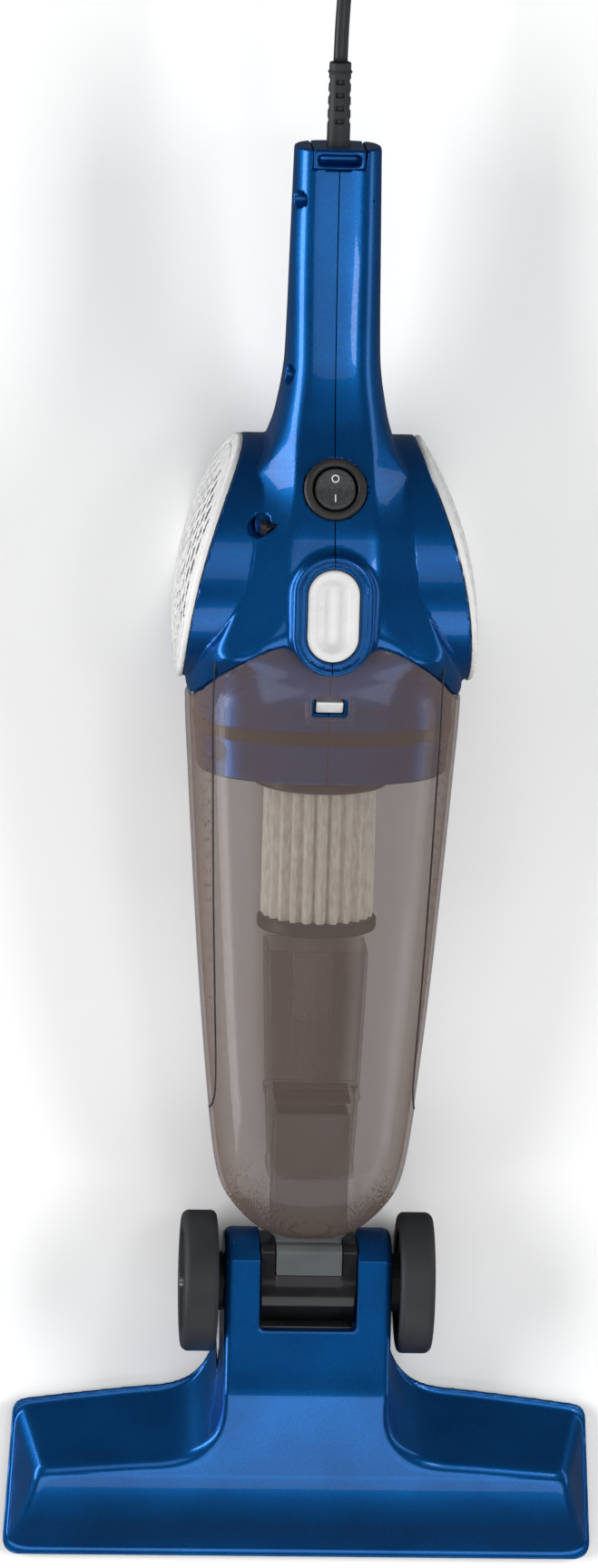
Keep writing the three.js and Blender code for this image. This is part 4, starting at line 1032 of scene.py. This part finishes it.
def make_filter(materials):
    outline = [(2 * math.pi * (i + t) / PLEATS, radius) for i in range(PLEATS) for t, radius in PLEAT]
    # (along the body, how far inside the outline); None is all the way in, at the bore
    rings = [(172.3, 0.3), (173.2, 0), (200, 0), (231.8, 0), (232.7, 0.3), (232.7, None), (172.3, None)]
    points = []
    for along, inset in rings:
        for angle, radius in outline:
            far = PLEATED_BORE if inset is None else radius - inset
            points.append((far * math.cos(angle), along, far * math.sin(angle)))
    mesh = mesh_from("pleated_filter_skin", points, bands([*range(len(rings)), 0], len(outline)), BODY)
    tidy_mesh(mesh, 50)
    add_piece("pleated_filter_skin", mesh, materials["paper"], "hand_unit", ["pleated_filter"])
    flange = rounded([(18.5, 233), (29, 233), (31, 234), (31, 237.4), (29.5, 238.4), (26, 238.4), (25, 240.7),
                      (18.5, 240.7)], 0.6)
    base = rounded([(0.01, 165), (21, 165), (22, 166.2), (26.4, 166.2), (27, 167), (27, 171), (26, 172),
                    (0.01, 172)], 0.5)
    for name, profile in (("filter_flange", flange), ("filter_base", base)):
        turned(name, profile, "s", materials["dark_grey"], "hand_unit")


# ---- mains cord ----

CORD_SPACE = Matrix.Translation((0, HINGE.y, 0)) @ Matrix.Scale(MM, 4)  # y is measured from the hinge axis


def strain_relief(x, s, f):
    """A flexible sleeve with four rows of slots, four to a row, held by a flange inside the handle."""
    far = np.hypot(x, f)
    sleeve = both(both(far - 5.2 + np.maximum(s - 534, 0) * 0.012, s - 561, 0.7), 509 - s)
    body = join(sleeve, both(far - 8.4, np.abs(s - 508) - 1.5, 0.4))
    body = join(body, np.hypot(far - 5.05, s - 556.6) - 0.5, 0.5)
    for row in range(4):
        band = np.abs(s - 534.7 - 5.9 * row) - 1.05
        slots = both(np.minimum(np.abs(x), np.abs(f)) - 1.9, 3.6 - far, 0.3)
        body = cut(body, both(band, slots, 0.4), 0.35)
    return body


def coil_tie(x, y, z):
    """A hook and loop strap round the whole bundle, with its end lapped over the top."""
    middle = COIL_CENTRE[1] + COIL_RADIUS
    half = COIL_COLUMNS * CORD_DIAMETER / 2 + 0.8
    top = COIL_LAYERS * CORD_DIAMETER + 0.4
    left, right = COIL_CENTRE[0] - 4, COIL_CENTRE[0] + 4
    outer = block(x, y, z, (left, middle - half - 1.4, 0.05), (right, middle + half + 1.4, top + 1.2), 1.2)
    strap = cut(outer, block(x, y, z, (left - 5, middle - half, -5), (right + 5, middle + half, top), 0.8))
    lap = block(x, y, z, (left + 0.4, middle - 6, top + 0.6), (right - 0.4, middle + 9, top + 1.9), 0.5)
    return join(strap, lap, 0.2)


PLUG_WIDE = through((-1, 5), (0, 5.2), (12, 6.6), (17, 9), (24, 11), (34, 17.6), (40, 18.2), (43, 18.2))
PLUG_THICK = through((-1, 5), (0, 5.2), (12, 6.4), (17, 8.6), (24, 9.4), (34, 10.8), (43, 11))


def plug_body(x, y, z):
    """A moulded plug: its grip narrows behind the face, with ridges across it for the fingers."""
    a = PLUG_AT[0] - x
    wide = PLUG_WIDE(a) + 0.45 * np.cos(a * 1.7) * np.clip((a - 12) / 3, 0, 1) * np.clip((31 - a) / 3, 0, 1)
    thick = PLUG_THICK(a)
    ratio = ((np.abs(y - PLUG_AT[1]) / wide) ** 2.6 + (np.abs(z - PLUG_AT[2]) / thick) ** 2.6) ** (1 / 2.6)
    round_ends = both(a - 42, -a, 0.5)
    return both((ratio - 1) * np.minimum(wide, thick), round_ends, 1.6)


def make_cord(materials):
    turns = coil_line()
    lead = smooth_line(CORD_ROUTE[:-1] + [(41.6, 702, 3.2), (41.6, 712, 3.2), turns[0]], 3).tolist()[:-1]
    kept = turns[:TURN_POINTS * (COIL_COLUMNS * COIL_LAYERS - 1) + TURN_POINTS // 4]
    tail = smooth_line([kept[-2], kept[-1], (-19, 769.8, 9.6)] + TAIL_ROUTE, 3).tolist()[1:]
    line = lead + kept[:-1] + tail
    mesh = tube_mesh("mains_cord_skin", line, CORD_DIAMETER / 2, CORD_SPACE)
    cord = add_piece("mains_cord_skin", mesh, materials["cord"], "hand_unit",
                     ["mains_cord", "cord_coil", "cord_tail"])
    low, high = (PLUG_AT[0] - 44, PLUG_AT[1] - 20, -1), (PLUG_AT[0] + 2, PLUG_AT[1] + 20, 24)
    pieces = [
        skinned("strain_relief", strain_relief, (-9.5, 505, -9.5), (9.5, 562.5, 9.5), 0.55,
                materials["rubber"], "hand_unit"),
        skinned("coil_tie", coil_tie, (-12, 741, -1), (0, 779, 36), 0.6,
                materials["black_matt"], "hand_unit", CORD_SPACE),
        skinned("plug_body", plug_body, low, high, 0.7,
                materials["cord"], "hand_unit", CORD_SPACE),
    ]
    for name in ("plug_pin_line", "plug_pin_neutral"):
        polished_node(name, materials["brass"], 0.2)
        pieces.append(frame["nodes"][name])


# ---- floor and light ----


def make_stage():
    material, nodes, links, shader = new_material("studio_floor")
    tint = spread(nodes, links, noise(nodes, links, 3, 3), (0.95, 0.95, 0.95), (0.975, 0.975, 0.975))
    links.new(tint, shader.inputs["Base Color"])
    set_inputs(shader, Roughness=0.9)
    mesh = bpy.data.meshes.new("floor")
    mesh.from_pydata([(-6, -6, 0), (6, -6, 0), (6, 6, 0), (-6, 6, 0)], [], [(0, 1, 2, 3)])
    floor = bpy.data.objects.new("floor", mesh)
    mesh.materials.append(material)
    bpy.context.scene.collection.objects.link(floor)
    floor.visible_glossy = False


def add_light(name, place, aim, width, height, power):
    data = bpy.data.lights.new(name, "AREA")
    data.shape = "RECTANGLE"
    data.size, data.size_y = width, height
    data.energy = power
    light = bpy.data.objects.new(name, data)
    light.location = place
    light.rotation_euler = (Vector(aim) - Vector(place)).to_track_quat("-Z", "Y").to_euler()
    bpy.context.scene.collection.objects.link(light)
    return light


def make_lights():
    add_light("left_box", (-1.3, 0.1, 0.2), (0, 0.1, 0.1), 1.7, 0.36, 10)
    add_light("right_box", (1.3, 0.1, 0.2), (0, 0.1, 0.1), 1.7, 0.36, 2.4)
    add_light("over_box", (0.0, 0.12, 1.7), (0, 0.1, 0.0), 1.7, 1.0, 4.0)
    add_light("over_right_box", (0.62, 0.3, 1.5), (0, 0.1, 0.0), 0.3, 0.3, 1.8)
    add_light("front_box", (0.0, -1.35, 0.95), (0, 0.0, 0.0), 1.8, 0.8, 6)
    for side in (-1, 1):
        wash = add_light("floor_wash", (side * 1.9, 0.1, 1.5), (0, 0.15, 0.0), 1.6, 0.7, 38)
        wash.visible_glossy = False
    world = bpy.data.worlds.new("studio")
    world.use_nodes = True
    world.node_tree.nodes["Background"].inputs["Color"].default_value = (0.9, 0.95, 1, 1)
    world.node_tree.nodes["Background"].inputs["Strength"].default_value = 0.07
    bpy.context.scene.world = world
    bpy.context.scene.view_settings.view_transform = "Standard"


make_camera()
make_stage()
make_lights()
materials = make_materials()
make_head(materials)
make_cup(materials)
make_shells(materials)
make_controls(materials)
make_filter(materials)
make_insides(materials)
make_cord(materials)
